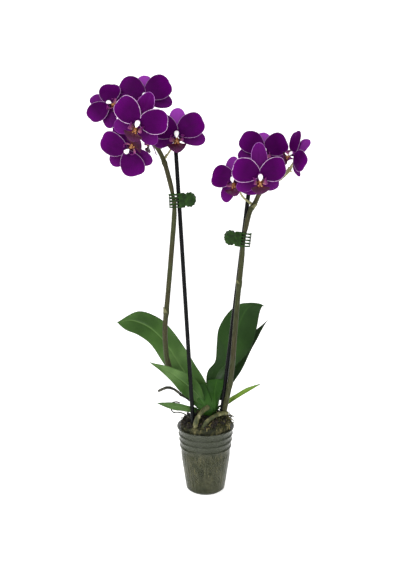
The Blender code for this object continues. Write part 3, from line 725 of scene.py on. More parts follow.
def bract(route, radius, place, turn, length, pale=0.7):
    """A papery scale that clasps the stem at this share of its route and ends in a point."""
    at = int(place * (len(route) - 1))
    tangent = unit(route[min(at + 1, len(route) - 1)] - route[at - 1])
    side = unit(np.cross(tangent, [math.cos(turn), math.sin(turn), 0.2]))
    front = np.cross(side, tangent)
    u = np.linspace(0, 1, 12)[:, None]
    v = np.linspace(-1, 1, 11)[None, :]
    reach = 1.75 * np.sqrt(np.clip(1 - u, 0.004, 1)) * v
    out = radius + 0.12 + 1.0 * u**2
    grid = (
        route[at]
        + tangent * (length * u)[..., None]
        + side * (np.sin(reach) * out)[..., None]
        + front * (np.cos(reach) * out)[..., None]
    )
    return sheet(grid, np.full(reach.shape, 0.3), {"pale": np.full(reach.shape, pale)})


def bud(centre, way, length, radius):
    """A closed bud: a drop with three shallow seams where its sepals meet."""
    way = unit(np.array(way, float))
    side = unit(np.cross(way, [0.2, 1.0, 0.1]))
    other = np.cross(way, side)
    rows, sides = 13, 18
    points = []
    for t in np.linspace(0, 1, rows):
        wide = radius * math.sin(math.pi * min(0.985, 0.03 + t * 0.96)) ** 0.7 * (1 - 0.25 * t)
        for k in range(sides):
            turn = 2 * math.pi * k / sides
            r = wide * (1 - 0.10 * max(0.0, math.cos(3 * turn)) ** 6)
            points.append(centre + way * length * t + (
                side * math.cos(turn) + other * math.sin(turn)
            ) * r)
    faces = grid_faces(rows, sides, closed=True)
    return np.array(points), faces, {"pale": 0.85}


STAKE_RADIUS, STALK_POINTS = 2.5, 40
TIP_BUDS = {
    "left": [
        ((-103, -4, 448), (-0.5, -0.5, -0.7), 5.5, 2.1),
        ((-101, -5, 446), (0.1, -0.6, -0.8), 5.5, 2.0),
        ((-104, -3, 449), (-0.9, -0.1, 0.3), 4.0, 1.6)
    ],
    "right": [
        ((99, 10, 403), (0.5, -0.5, 0.5), 4.2, 1.7), ((97, 9, 400), (0.8, -0.6, -0.2), 4.6, 1.8),
        ((93, 8, 396), (0.2, -0.9, -0.3), 3.8, 1.5), ((88, 8, 391), (0.3, -0.8, -0.5), 3.4, 1.3)
    ]
}
for side in SPIKES:
    route = curve(SPIKES[side], 150)
    share = np.linspace(0, 1, len(route))
    radii = 3.15 - 0.85 * share**2
    # never closer than 0.25 mm to the stake beside it, and a little waisted where the clip holds it
    stake_middle, stake_way = long_axis(cad_points(f"stake_{side}"))
    away = route - stake_middle
    away -= np.outer(away @ stake_way, stake_way)
    radii = np.minimum(radii, np.linalg.norm(away, axis=1) - STAKE_RADIUS - 0.25)
    clip_middle = cad_points(f"clip_{side}_front_jaw").mean(axis=0)
    radii -= 0.75 * np.exp(-(((route[:, 2] - clip_middle[2]) / 12) ** 4))
    for place in NODES[side]:
        radii += 0.75 * np.exp(-(((share - place) / 0.006) ** 2))
    points, faces, values = tube(route, radii, sides=18, bumps=0.12, seed=3.0)
    tip = np.clip((values["share"] - 0.8) / 0.15, 0, 1)
    parts = [(points, faces, {"pale": 0.05 + 0.4 * tip})]
    for count, place in enumerate(NODES[side]):
        at = int(place * (len(route) - 1))
        parts.append(bract(route, radii[at] - 0.5, place, 1.2 + 2.3 * count, 7.5, 0.3))
    for letter, (start, bow) in STALKS[side].items():
        origin, axes, size = FLOWER_AXES[letter]
        end = origin - axes[:, 2] * 0.6 * size
        line = curve([start, bow, end - axes[:, 2] * 5, end], STALK_POINTS)
        share = np.linspace(0, 1, STALK_POINTS)
        grown = np.interp(share, [0, 0.1, 0.85, 1], [1.55, 1.15, 1.2, 1.9])
        points, faces, values = tube(line, grown, sides=12, bumps=0.1, seed=9.0)
        parts.append((points, faces, {"pale": 0.65 + 0.35 * values["share"]}))
        parts.append(bract(line, 1.2, 0.06, 2.0, 4.5, 0.8))
    for centre, way, length, radius in TIP_BUDS[side]:
        parts.append(bud(np.array(centre, float), way, length, radius))
    name = f"spike_{side}"
    build(f"stem_{side}", parts, stem_skin, replaced=[name])
    print(name, "carries", len(STALKS[side]), "stalks,", len(NODES[side]), "nodes")

# %% [markdown]
# ## Stakes
#
# The stakes are extruded plastic over a steel core, coloured black right through. The
# die leaves fine grooves along them, and handling leaves a few dull scuffs. A smooth
# skin with a long narrow highlight is what makes the eye see a straight plastic rod.

# %% Stakes
stake_skin, tree = new_material("black extruded plastic")
groove = add(tree, "TexNoise", {
    "Vector": millimetres(tree, (1.0, 1.0, 0.01)), "Scale": 2.5, "Detail": 2.0
})
scuff = add(tree, "TexNoise", {"Vector": millimetres(tree), "Scale": 0.12, "Detail": 5.0})
black = add(tree, "ValToRGB", [scuff], [(0.4, "#040506"), (0.7, "#0c0e11")])
rough = add(tree, "MapRange", [scuff, 0.3, 0.8, 0.14, 0.32])
relief = add(tree, "Bump", {"Height": groove, "Strength": 0.3, "Distance": 0.0002})
finish_with(tree, {
    "Base Color": black, "Roughness": rough, "IOR": 1.5, "Specular IOR Level": 0.1, "Normal": relief
})
for side in SPIKES:
    points = cad_points(f"stake_{side}")
    middle, axis = long_axis(points)
    axis = axis * np.sign(axis[2])
    reach = (points - middle) @ axis
    low, high = middle + axis * (reach.min() + 1.5), middle + axis * (reach.max() - 1.2)
    line = low + (high - low) * np.linspace(0, 1, 60)[:, None]
    part = tube(line, STAKE_RADIUS, sides=28)
    build(f"rod_{side}", [part], stake_skin, replaced=[f"stake_{side}"])
    print(f"stake_{side}: {np.linalg.norm(high - low):.0f} mm, leaning {axis.round(3)}")

# %% [markdown]
# ## Claw clips
#
# Each clip is two moulded jaws of clear-dyed green plastic on one pin, pressed shut by a
# wire spring. The frame already has their true shape, so they keep its mesh. Flat mesh
# faces are joined and every edge is rounded by a small bevel, because no moulding has a
# knife edge, and that thin bright line along an edge is what reads as moulded plastic.

# %% Clips
clip_skin, tree = new_material("green moulded acetal")
swirl = add(tree, "TexNoise", {"Vector": millimetres(tree), "Scale": 0.25, "Detail": 3.0})
grain = add(tree, "TexNoise", {"Vector": millimetres(tree), "Scale": 5.0, "Detail": 2.0})
green = add(tree, "ValToRGB", [swirl], [(0.3, "#0e2205"), (0.55, "#1a360b"), (0.8, "#2a4e12")])
relief = add(tree, "Bump", {"Height": grain, "Strength": 0.15, "Distance": 0.0001})
finish_with(tree, {
    "Base Color": green, "Roughness": 0.28, "IOR": 1.48, "Specular IOR Level": 0.15,
    "Subsurface Weight": 0.1, "Subsurface Radius": (0.001, 0.002, 0.001), "Subsurface Scale": 0.5,
    "Normal": relief
})
for name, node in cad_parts.items():
    if not name.startswith("clip_"):
        continue
    node.data.materials.clear()
    node.data.materials.append(clip_skin)
    node.data.shade_smooth()
    weld = node.modifiers.new("join corners", "WELD")
    weld.merge_threshold = 0.02 * MM
    flatten = node.modifiers.new("join flat faces", "DECIMATE")
    flatten.decimate_type = "DISSOLVE"
    flatten.angle_limit = math.radians(3)
    bevel = node.modifiers.new("round the edges", "BEVEL")
    bevel.width = 0.2 * MM
    bevel.segments = 2
    bevel.limit_method = "ANGLE"
    bevel.angle_limit = math.radians(40)
    bevel.harden_normals = True
    print(name, [round(d * 1000, 1) for d in node.dimensions], "mm")

# %% [markdown]
# ## Leaves
#
# Orchid leaves are thick straps with a waxy skin. They fold along a sunken midrib and
# carry faint veins that run from foot to tip. Each leaf here is stretched between its two
# edge lines, sags between them, and gets its midrib as real shape. A thin clear coat
# over a slightly mottled green gives broad soft reflections, brighter where it bends.

# %% Leaf finish


def leaf_tissue(name, dark, middle, light, coat):
    """Waxy leaf tissue, lighter along the midrib and darker at the very edge."""
    made, tree = new_material(name)
    across, edge, back = value_of(tree, "across"), value_of(tree, "edge"), value_of(tree, "back")
    mottle = add(tree, "TexNoise", {"Vector": millimetres(tree), "Scale": 0.02, "Detail": 3.0})
    # parallel veins, about one every 1.5 mm
    lane = add(tree, "Math", [value_of(tree, "lane"), 4.2])
    wave = add(tree, "Math", [lane], operation="SINE")
    drift = add(tree, "Math", [wave, 0.05, mottle], operation="MULTIPLY_ADD")
    body = add(tree, "ValToRGB", [drift], [(0.25, dark), (0.5, middle), (0.8, light)])
    near = add(tree, "Math", [across], operation="ABSOLUTE")
    rib = add(tree, "MapRange", [near, 0.0, 0.09, 0.55, 0.0], interpolation_type="SMOOTHSTEP")
    body = add(tree, "Mix", [rib, body, light])
    margin = add(tree, "MapRange", [edge, 0.2, 1.0, 0.5, 0.0], interpolation_type="SMOOTHSTEP")
    body = add(tree, "Mix", [margin, body, dark])
    paler = add(tree, "Math", [back, 0.4])
    body = add(tree, "Mix", [paler, body, light])
    # foot mixes in a darker green: painted shade near the base, where the leaves crowd round the
    # crown
    foot = value_of(tree, "foot")
    body = add(tree, "Mix", [foot, body, "#1c3a12"])
    pores = add(tree, "TexNoise", {"Vector": millimetres(tree), "Scale": 1.5, "Detail": 2.0})
    height = add(tree, "Math", [wave, 0.5, pores], operation="MULTIPLY_ADD")
    relief = add(tree, "Bump", {"Height": height, "Strength": 0.25, "Distance": 0.0003})
    rough = add(tree, "MapRange", [mottle, 0.3, 0.7, 0.32, 0.5])
    finish_with(tree, {
        "Base Color": body, "Roughness": rough, "IOR": 1.45, "Specular IOR Level": 0.15,
        "Coat Weight": coat, "Coat Roughness": 0.22, "Coat IOR": 1.4, "Subsurface Weight": 0.06,
        "Subsurface Radius": (0.001, 0.003, 0.0005), "Subsurface Scale": 0.4, "Normal": relief
    })
    return made


# the dark tissue is the same leaf green painted darker: painted shade for the large right leaf and
# the leaf behind it
LEAF_SKINS = {
    "leaf": leaf_tissue("waxy green leaf", "#2a4719", "#40602a", "#648548", 0.2),
    "dark": leaf_tissue("waxy green leaf painted in shade", "#12280a", "#1d3810", "#2c4c1a", 0.08),
    "young": leaf_tissue("young yellow-green leaf", "#42601a", "#587824", "#7c9a3e", 0.2)
}
# fmt: off
# opposite edges of each leaf from foot to tip, how deep it folds, and its tissue
LEAVES = {
    "leaf_left_large": (
        [(8, 1, 117), (4, 5, 130), (-3, 10, 144), (-13, 17, 158), (-25, 25, 176), (-42, 36, 197),
         (-60, 44, 212), (-85, 50, 218), (-111, 40, 206)],
        [(-6, 3, 116), (-26, 7, 130), (-42, 13, 145), (-54, 18, 162), (-68, 24, 182),
         (-84, 28, 193), (-100, 32, 199), (-111, 40, 206)],
        3.0, "leaf",
    ),
    "leaf_right_large": (
        [(5, 6, 118), (1, 11, 136), (3, 17, 150), (12, 22, 161), (14, 30, 180),
         (17, 38, 200), (30, 46, 219), (47, 48, 229), (73, 42, 227)],
        [(13, 3, 117), (19, 9, 131), (29, 17, 147), (41, 24, 158), (56, 34, 173),
         (64, 42, 196), (68, 46, 216), (71, 45, 225), (73, 42, 227)],
        4.0, "dark",
    ),
    "leaf_right_back": (
        [(14, 12, 116), (21, 26, 129), (30, 46, 145), (42, 60, 164), (58, 70, 181), (81, 76, 200)],
        [(21, 9, 115), (34, 22, 132), (48, 40, 148), (62, 56, 172), (73, 68, 189), (81, 76, 200)],
        3.0, "dark",
    ),
    "leaf_left_small": (
        [(-1, -7, 120), (-7, -7, 139), (-19, -7, 153), (-33, -9, 160), (-47, -14, 167),
         (-67, -22, 174)],
        [(-5, -10, 115), (-19, -9, 122), (-30, -12, 132), (-42, -17, 149), (-54, -20, 162),
         (-67, -22, 174)],
        4.0, "leaf",
    ),
    "leaf_left_low": (
        [(-10, -8, 110.5), (-20, -12, 114.5), (-31, -16, 119), (-43, -20, 122.5), (-59, -26, 124)],
        [(-11, -8, 105), (-20, -12, 106.5), (-31, -16, 110), (-44, -20, 114), (-59, -26, 124)],
        1.0, "leaf",
    ),
    "leaf_right_young": (
        [(16, 3, 109), (22, 0, 114), (34.7, -2, 124.8), (50.3, -8, 136.8), (66.5, -17, 145)],
        [(18.6, 1, 106.2), (24.8, -1, 110.5), (37.5, -5, 121.3), (52.9, -11, 133.6),
         (66.5, -17, 145)],
        1.0, "young",
    ),
}
# fmt: on
print("leaf tissues:", ", ".join(LEAF_SKINS))

# %% Leaf blades


def leaf_blade(edge_a, edge_b, fold, rng, faces_back, rows=70, columns=29):
    """A leaf as a closed sheet between its two edges, with a sunken midrib."""
    a, b = curve(edge_a, rows), curve(edge_b, rows)
    u = np.linspace(0, 1, rows)
    narrow = np.clip((1 - u) / 0.02, 0.25, 1)[:, None]
    middle = (a + b) / 2
    a, b = middle + (a - middle) * narrow, middle + (b - middle) * narrow
    s = np.linspace(0, 1, columns)
    grid = a[:, None] * (1 - s)[None, :, None] + b[:, None] * s[None, :, None]
    normal = unit(np.cross(np.gradient(middle, axis=0), b - a))
    if faces_back:
        normal = np.where(normal[:, 1:2] > 0, -normal, normal)
    depth = fold * np.sin(math.pi * np.minimum(0.95, 0.25 + u))
    width = np.linalg.norm(b - a, axis=1)
    t = 2 * s - 1
    sag = depth[:, None] * (1 - t**2)
    groove = np.minimum(1.1, width[:, None] * 0.05) * (1.1 - u)[:, None]
    groove = groove * np.exp(-((t / 0.07) ** 2))
    phase = rng.uniform(0, 6, 3)
    wave = 0.5 * np.sin(14 * u + phase[0])[:, None] * np.abs(t) ** 2 * np.sign(t)
    wave = wave + 0.35 * np.sin(23 * u + phase[1])[:, None] * np.abs(t) ** 3
    grid = grid - normal[:, None] * (sag + groove - wave)[..., None]
    edge = (1 - np.abs(t)) * width[:, None] / 2
    thickness = 0.35 + 1.25 * np.clip(edge / 4, 0, 1)
    # the lowest sixth of each leaf gets a foot value: painted shade near its base
    foot = np.clip((0.16 - u) / 0.16, 0, 1)[:, None] ** 1.5 * 0.85
    values = {"edge": edge, "across": t + 0 * edge, "lane": t * width[:, None] / 2}
    values["foot"] = foot + 0 * edge
    outward = np.sum(grid_normals(grid).mean(axis=(0, 1)) * normal.mean(axis=0))
    if outward < 0:
        grid, thickness = grid[:, ::-1], thickness[:, ::-1]
        values = {key: value[:, ::-1] for key, value in values.items()}
    return sheet(grid, thickness, values)


for index, (name, (edge_a, edge_b, fold, skin)) in enumerate(LEAVES.items()):
    rng = np.random.default_rng(500 + index)
    part = leaf_blade(edge_a, edge_b, fold, rng, name != "leaf_left_low")
    made = build(
        name.replace("leaf", "blade"), [part], LEAF_SKINS[skin], replaced=[name],
    )
    print(name, [round(d * 1000) for d in made.dimensions], "mm")

# %% [markdown]
# ## Crown and roots
#
# The leaves clasp a short stem with their folded feet, one outside the next. Thick roots
# grow out below them. A dry root is covered in silvery spongy velamen; where it is damp
# the green tissue shows through, and old dead roots shrink to thin dark wires. The arching
# root is a living one in the shade of the leaves, and takes the same near-black skin as
# painted shade.

# %% Crown and root finishes


def root_skin(name, stops, bump):
    made, tree = new_material(name)
    patch = add(tree, "TexNoise", {
        "Vector": millimetres(tree, (1.0, 1.0, 0.5)), "Scale": 0.16, "Detail": 6.0
    })
    sponge = add(tree, "TexNoise", {"Vector": millimetres(tree), "Scale": 2.4, "Detail": 4.0})
    mixed = add(tree, "Math", [sponge, 0.35, patch], operation="MULTIPLY_ADD")
    skin = add(tree, "ValToRGB", [mixed], stops)
    relief = add(tree, "Bump", {"Height": sponge, "Strength": bump, "Distance": 0.0004})
    finish_with(tree, {"Base Color": skin, "Roughness": 0.62, "IOR": 1.4, "Normal": relief})
    return made


VELAMEN = root_skin("silvery green root velamen", [
    (0.45, "#22280f"), (0.62, "#3c4224"), (0.78, "#66643e"), (0.95, "#c8c2a4")
], 0.5)
# near-black root skin: the dead fibre's own colour, and painted shade on the arching root
DRY_AND_SHADED_ROOT = root_skin("dry dark root", [(0.4, "#0a0c06"), (0.7, "#1a1c10"), (0.95, "#6a685a")], 0.6)
# the crown takes a darker copy of the leaf tissue: painted shade, where it sits under the leaves
SHADED_SHEATH = leaf_tissue("green leaf sheath painted in shade", "#16300a", "#254815", "#3a6022", 0.08)
ROOTS = {
    "root_front_left": (2.9, [
        (3, -11, 113), (-2, -15, 111), (-7, -20, 107), (-11, -23.5, 101), (-13, -25, 93)
    ]),
    "root_front_right": (2.6, [
        (26, -10, 105), (17, -14, 105), (9, -19, 103), (2, -23, 99), (-3, -26, 92)
    ]),
    "root_arching": (1.7, [
        (-13, 0, 112), (-20, -4, 120), (-30, -9, 128), (-38, -12, 136), (-47, -16, 140)
    ] + [(-57, -20, 137)])
}
for name, (radius, points) in ROOTS.items():
    route = curve(points, 48)
    swell = radius * (1 + 0.06 * np.sin(np.linspace(0, 9, 48)))
    part = tube(route, swell, sides=20, bumps=0.35 if radius > 2 else 0.5, seed=radius)
    # the arching root is a living root given the near-black skin as painted shade
    skin = DRY_AND_SHADED_ROOT if name == "root_arching" else VELAMEN
    build(name.replace("root", "strand"), [part], skin, replaced=[name])
# a thin dead fibre that hooks out over the rim, too fine for the frame
HOOK = [(-32, -7, 117), (-37, -8, 118.5), (-41.5, -10, 117.5), (-42.4, -12, 112)]
HOOK += [(-40, -14, 107.5), (-32.6, -17, 108.5), (-25.3, -20, 107), (-18, -23, 103)]
part = tube(curve(HOOK, 60), 0.75, sides=10, bumps=0.4, seed=21.0)
build("dead_fibre", [part], DRY_AND_SHADED_ROOT)
print("roots:", len(ROOTS), "and one fibre")

# %% Crown with clasping leaf feet
rng = np.random.default_rng(700)
parts = []
profile = [(0.5, 90), (6.5, 90.5), (8.4, 97), (8.6, 103)]
profile += [(7.6, 109), (6.2, 113), (3.6, 117), (0.4, 118)]
line = curve(profile, 44)
points, faces, _ = lathe(line, 48, lambda turn, height: 0.5 * math.cos(5 * turn + height * 0.2))
points = points + (4.0, 0.0, 0.0)
# the crown stem carries foot 0.7: painted shade under the leaves
parts.append((points, faces, {
    "across": 0.5, "edge": 5.0, "back": 0.0, "lane": points[:, 0], "foot": 0.7
}))
# each foot wraps half round the crown and runs up into its leaf
FEET = [
    ((6, 2, 99), (13, 8, 115), (22, 17, 126), 8.0),
    ((3, -1, 98), (-4, -5, 106), (-13, -9, 109), 5.0),
    ((8, -1, 98), (13, -3, 105), (17, -5, 110), 4.6), ((8, 2, 98), (14, 3, 105), (19, 1, 110), 3.6)
]
for start, middle, end, wide in FEET:
    route = curve([start, middle, end], 22)
    tangent = unit(np.gradient(route, axis=0))
    out = route - np.array([4.0, 2.0, 112.0])
    out = unit(out - tangent * np.sum(out * tangent, axis=1, keepdims=True))
    side = np.cross(tangent, out)
    u = np.linspace(0, 1, 22)[:, None]
    v = np.linspace(-1, 1, 17)[None, :]
    half = wide * (1.0 - 0.45 * u) * np.clip((1.02 - u) / 0.25, 0.1, 1)
    grid = (route[:, None] + side[:, None] * (half * np.sin(1.2 * v))[..., None] + out[:, None] * (
        half * 0.55 * (np.cos(1.2 * v) - 0.6)
    )[..., None])
    if np.sum(grid_normals(grid)[11, 8] * out[11]) < 0:
        grid = grid[:, ::-1]
    # foot grows towards the crown: painted shade on each clasping foot
    values = {
        "across": v + 0 * u, "edge": (1 - np.abs(v)) * half, "lane": v * half,
        "foot": 0.55 * (1 - u) + 0 * v
    }
    parts.append(sheet(grid, np.full(half.shape[:1] + (17,), 1.2), values))
# the two largest leaves clasp it in front with broad smooth bases that meet in a V
CLASPS = [
    ([(9, -7, 99), (10, -7.5, 108), (8.5, -5, 117), (4, 0, 128), (0, 5, 138)], [
        (-3, -6, 99), (-7, -8.5, 107), (-16, -7, 116), (-30, 0, 130), (-42, 8, 144)
    ], -3.5),
    ([(2, -5, 99), (3, -6.5, 108), (4, -4, 118), (2, 3, 129), (2, 9, 142)], [
        (12, -3, 99), (14.5, -4, 108), (17, 0, 117), (20, 6, 128), (27, 13, 141)
    ], -3.0)
]
for edge_a, edge_b, fold in CLASPS:
    parts.append(leaf_blade(edge_a, edge_b, fold, rng, True, rows=40, columns=21))
build("crown_feet", parts, SHADED_SHEATH, replaced=["crown"])
print("crown with", len(FEET) + len(CLASPS), "clasping feet")

# %% [markdown]
# ## Bark and moss
#
# Nursery orchids stand in chunks of fir bark with sphagnum moss packed between them, so
# that air reaches the roots. A rough dark core fills the pot here. Broken chips lie on
# top, torn moss strands fill the gaps, and a few living roots press against the wall.

# %% Bark and moss finishes
bark_skin, tree = new_material("damp fir bark")
layer = add(tree, "TexNoise", {
    "Vector": millimetres(tree, (1.0, 1.0, 3.0)), "Scale": 0.45, "Detail": 6.0
})
tone = value_of(tree, "tone")
mixed = add(tree, "Math", [tone, 0.35, layer], operation="MULTIPLY_ADD")
bark = add(tree, "ValToRGB", [mixed], [
    (0.4, "#060605"), (0.62, "#110e0a"), (0.8, "#241d13"), (0.95, "#4a3d2b")
])
relief = add(tree, "Bump", {"Height": layer, "Strength": 0.8, "Distance": 0.0006})
finish_with(tree, {"Base Color": bark, "Roughness": 0.8, "IOR": 1.45, "Normal": relief})
moss_skin, tree = new_material("sphagnum moss strand")
strand = add(tree, "TexNoise", {"Vector": millimetres(tree), "Scale": 0.9, "Detail": 3.0})
mixed = add(tree, "Math", [value_of(tree, "tone"), 0.6, strand], operation="MULTIPLY_ADD")
moss = add(tree, "ValToRGB", [mixed], [
    (0.35, "#10140a"), (0.65, "#24280f"), (0.9, "#3c3c1a"), (1.0, "#7c7448")
])
relief = add(tree, "Bump", {"Height": strand, "Strength": 0.4, "Distance": 0.0003})
finish_with(tree, {"Base Color": moss, "Roughness": 0.85, "IOR": 1.4, "Normal": relief})
core_skin, tree = new_material("packed bark, moss and roots")
clod = add(tree, "TexVoronoi", {
    "Vector": millimetres(tree, (1.0, 1.0, 0.6)), "Scale": 0.16, "Randomness": 1.0
})
shade = add(tree, "SeparateColor", [clod.node.outputs["Color"]])
upright = millimetres(tree, (1.0, 1.0, 0.35))
fuzz = add(tree, "TexNoise", {"Vector": upright, "Scale": 0.5, "Detail": 5.0})
mixed = add(tree, "Math", [shade, 0.4, fuzz], operation="MULTIPLY_ADD")
packed = add(tree, "ValToRGB", [mixed], [
    (0.35, "#12140b"), (0.6, "#1f2212"), (0.8, "#34351d"), (0.98, "#6c6644")
])
relief = add(tree, "Bump", {"Height": fuzz, "Strength": 0.9, "Distance": 0.001})
finish_with(tree, {"Base Color": packed, "Roughness": 0.85, "IOR": 1.4, "Normal": relief})
print("three finishes for the growing medium")

# %% Core, chips and strands
POT_WALL = 1.05
FOOT_RADIUS = 21.0
POT_WAIST = [(24.2, 3.0), (27.3, 25.0), (30.0, 44.0), (30.6, 54.0)]
POT_RIBS = [(32.3, 59.5), (33.1, 67.5), (34.0, 75.5)]
RIM = (35.2, 85.0)


def mound(x, y):
    """Height of the medium's top, as in the frame."""
    radius = math.hypot(x - 4, y)
    return 96.0 + 6.0 * math.exp(-((radius / 20) ** 2)) - 5 * (radius / 32) ** 4


def inner_radius(height):
    """Radius of the pot's inside wall."""
    wall = POT_WAIST + [(POT_RIBS[0][0] - 1.5, 59.5), (POT_RIBS[2][0] - 1.5, 76), (34.0, 85)]
    radii, heights = zip(*wall)
    return float(np.interp(height, heights, radii)) - POT_WALL


side_wall = [(inner_radius(z) - 2.2, z) for z in np.linspace(2.6, 84, 60)]
sides, top_rings = 120, 30
top = [(30.6 * (1 - i / top_rings) + 0.2, 100) for i in range(top_rings)]
core, faces, _ = lathe([(0.3, 2.4)] + side_wall + top, sides)
for point in core[-sides * top_rings :]:
    point[2] = mound(point[0], point[1]) - 2.2
for i, point in enumerate(core):
    spot = Vector(point)
    rough = 1.1 * noise.noise(spot * 0.16) + 0.7 * noise.noise(spot * 0.5)
    out = Vector((point[0], point[1], 0)).normalized() if point[2] < 84 else Vector((0, 0, 1))
    core[i] = point + np.array(out) * (rough - 0.3)
build(
    "packed_core", [(core, faces, {})], core_skin, replaced=["growing_medium"]
)
rng = np.random.default_rng(900)
CROWN = np.array([4.0, 0.0])
CHIPS, STRANDS, RIM_STRANDS = 150, 900, 46
chips = []
while len(chips) < CHIPS:
    turn, r = rng.uniform(0, 2 * math.pi), 30.0 * math.sqrt(rng.uniform(0.02, 1))
    x, y = r * math.cos(turn), r * math.sin(turn)
    if np.linalg.norm(CROWN - (x, y)) < 8.5:
        continue
    size = rng.uniform((1.6, 1.2, 0.7), (4.6, 3.2, 1.8))
    if r + size.max() * 0.8 > 31.5:
        size *= 0.55
    chips.append(lump(rng, np.array([x, y, mound(x, y) - rng.uniform(0.6, 2.2)]), size, 0.55, 0.6))
build("bark_chips", chips, bark_skin)


def strand_at(x, y, z, rng, length, reach):
    """One torn strand of moss: a thin curly thread."""
    route = [np.array([x, y, z])]
    way = np.array([rng.normal(0, 1), rng.normal(0, 1), rng.uniform(0.0, 1.1)])
    for _ in range(5):
        way = unit(way) + rng.normal(0, 0.55, 3)
        way[2] -= 0.28
        step = route[-1] + unit(way) * length / 5
        flat = np.hypot(step[0], step[1])
        if flat > reach:
            step[:2] *= reach / flat
        route.append(step)
    part = tube(curve(route, 9), rng.uniform(0.22, 0.5), sides=5)
    return part[0], part[1], {"tone": rng.uniform()}


strands = []
for _ in range(STRANDS):
    turn, r = rng.uniform(0, 2 * math.pi), 30.5 * math.sqrt(rng.uniform(0.02, 1))
    x, y = r * math.cos(turn), r * math.sin(turn)
    # most of the moss lies to the right of the crown
    if x < rng.uniform(-34, 14) or np.linalg.norm(CROWN - (x, y)) < 7:
        continue
    strands.append(strand_at(x, y, mound(x, y) - 0.8, rng, rng.uniform(4, 10), 33.0))
for _ in range(RIM_STRANDS):
    turn = rng.uniform(-1.2, 0.9)
    x, y = 30.5 * math.cos(turn), 30.5 * math.sin(turn)
    strands.append(strand_at(x, y, mound(x, y) - 1, rng, rng.uniform(6, 12), 35.5))
build("moss_strands", strands, moss_skin)
wall_roots = []
for start, drift, radius in (
    (-2.3, 0.9, 1.5), (-1.9, -0.5, 1.2), (-1.2, 0.6, 1.6), (-0.7, -0.8, 1.3), (-2.9, 0.4, 1.3),
    (0.2, 0.7, 1.5), (1.4, -0.9, 1.6), (2.4, 0.6, 1.3)
):
    route = []
    for z in np.linspace(80, 8, 14):
        turn = start + drift * (80 - z) / 72 + 0.12 * math.sin(z * 0.2 + start * 5)
        r = inner_radius(z) - radius - 0.35
        route.append((r * math.cos(turn), r * math.sin(turn), z))
    wall_roots.append(tube(curve(route, 70), radius * 0.95, sides=12, bumps=0.2, seed=start))
build("wall_roots", wall_roots, VELAMEN)
print("bark chips:", len(chips), "moss strands:", len(strands), "wall roots:", len(wall_roots))

# %% [markdown]
# ## The clear pot
#
# The pot is vacuum-formed from a thin sheet of soft clear plastic, so its wall is about a
# millimetre thick, the ribs under the rim are soft-edged, and shallow flutes run down the
# sides. Clear plastic that has stood in a greenhouse turns smoky: part of the light goes
# straight through to the roots, and part comes back as a grey-green film. Mixing a clear
# surface with a glossy film does that, and a rolled rim catches a bright line.

# %% Pot
smoky, tree = new_material("smoky clear polypropylene")
height = add(tree, "SeparateXYZ", [millimetres(tree)]).node.outputs["Z"]
streak = add(tree, "TexNoise", {
    "Vector": millimetres(tree, (1.0, 1.0, 0.05)), "Scale": 0.5, "Detail": 4.0
})
film = add(tree, "TexNoise", {"Vector": millimetres(tree), "Scale": 0.08, "Detail": 4.0})
upper = add(tree, "MapRange", [height, 50.0, 66.0, 0.0, 1.0], interpolation_type="SMOOTHSTEP")
upright = millimetres(tree, (1.0, 1.0, 0.03))
fine = add(tree, "TexNoise", {"Vector": upright, "Scale": 1.6, "Detail": 3.0})
mixed = add(tree, "Math", [fine, 0.45])
mixed = add(tree, "Math", [streak, 0.33, mixed], operation="MULTIPLY_ADD")
mixed = add(tree, "Math", [film, 0.22, mixed], operation="MULTIPLY_ADD")
body = add(tree, "ValToRGB", [mixed], [
    (0.36, "#1c2015"), (0.46, "#343827"), (0.54, "#454633"), (0.66, "#66634a")
])
body = add(tree, "Mix", [upper, body, "#43473b"])
# painted shade: the pot is mixed darker towards the bottom, where its foot curves in towards the
# floor
low = add(tree, "MapRange", [height, 0.0, 14.0, 0.7, 0.0])
body = add(tree, "Mix", [low, body, "#282b1c"])
cover = add(tree, "MapRange", [mixed, 0.35, 0.65, 0.68, 0.86])
relief = add(tree, "Bump", {"Height": streak, "Strength": 0.35, "Distance": 0.0005})
finish_with(tree, {
    "Base Color": body, "Roughness": 0.24, "IOR": 1.49, "Specular IOR Level": 0.18, "Alpha": cover,
    "Normal": relief
})
outside = [(0.4, 0.0), (FOOT_RADIUS - 2.0, 0.0), (FOOT_RADIUS - 0.4, 0.2), (FOOT_RADIUS + 0.3, 0.9)]
outside += [(FOOT_RADIUS + 1.6, 1.6), POT_WAIST[0]]
wall = curve(POT_WAIST, 36)[1:]
outside += [tuple(p) for p in wall]
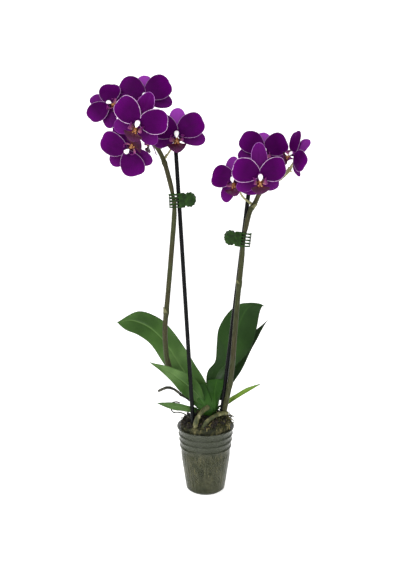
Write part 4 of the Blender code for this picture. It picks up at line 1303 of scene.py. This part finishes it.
# one rib, as steps out and up from its middle
RIB_SHAPE = [(-0.25, -0.9), (0, -0.35), (-0.1, 0.15), (-0.9, 0.65), (-1.45, 1.0), (-1.5, 1.5)]
for radius, height_mm in POT_RIBS:
    outside += [(radius + out, height_mm + up) for out, up in RIB_SHAPE]
rim_r, rim_z = RIM
RIM_SHAPE = [(-0.35, -2.2), (0.1, -1.5), (0.35, -0.7), (0.15, -0.05), (-0.4, 0.1), (-0.95, -0.3)]
outside += [(rim_r + out, rim_z + up) for out, up in RIM_SHAPE]
inside = [(inner_radius(z) + 0.1, z) for z in np.linspace(rim_z - 2.4, 3.4, 40)]
inside += [(FOOT_RADIUS - 1.8, 1.15), (0.4, 1.0)]


def flutes(turn, height):
    """Shallow upright flutes between the foot and the ribs."""
    share = max(0.0, min(1.0, (height - 6) / 6, (54 - height) / 5))
    return 0.14 * share * math.cos(36 * turn)


shell = lathe(outside + inside, 216, flutes)
pot = build("clear_pot", [shell], smoky, replaced=["pot"])
pot.data.shade_smooth()
# six drain holes, punched through the base in a ring
DRAIN_HOLES, DRAIN_RING, DRAIN_RADIUS = 6, 13.5, 2.6
punch = bpy.data.meshes.new("punch")
tool = bmesh.new()
for k in range(DRAIN_HOLES):
    turn = 2 * math.pi * (k + 0.1) / DRAIN_HOLES
    place = Vector((math.cos(turn), math.sin(turn), 0.0)) * DRAIN_RING * MM
    bmesh.ops.create_cone(
        tool, cap_ends=True, segments=32, radius1=DRAIN_RADIUS * MM, radius2=DRAIN_RADIUS * MM,
        depth=5 * MM, matrix=Matrix.Translation(place)
    )
tool.to_mesh(punch)
tool.free()
punch = bpy.data.objects.new("punch", punch)
scene.collection.objects.link(punch)
cut = pot.modifiers.new("drain holes", "BOOLEAN")
cut.object, cut.operation, cut.solver = punch, "DIFFERENCE", "EXACT"
graph = bpy.context.evaluated_depsgraph_get()
cut_mesh = bpy.data.meshes.new_from_object(pot.evaluated_get(graph))
pot.modifiers.clear()
pot.data = cut_mesh
bpy.data.objects.remove(punch, do_unlink=True)
print("pot", [round(d * 1000, 1) for d in pot.dimensions], "mm, wall", POT_WALL)
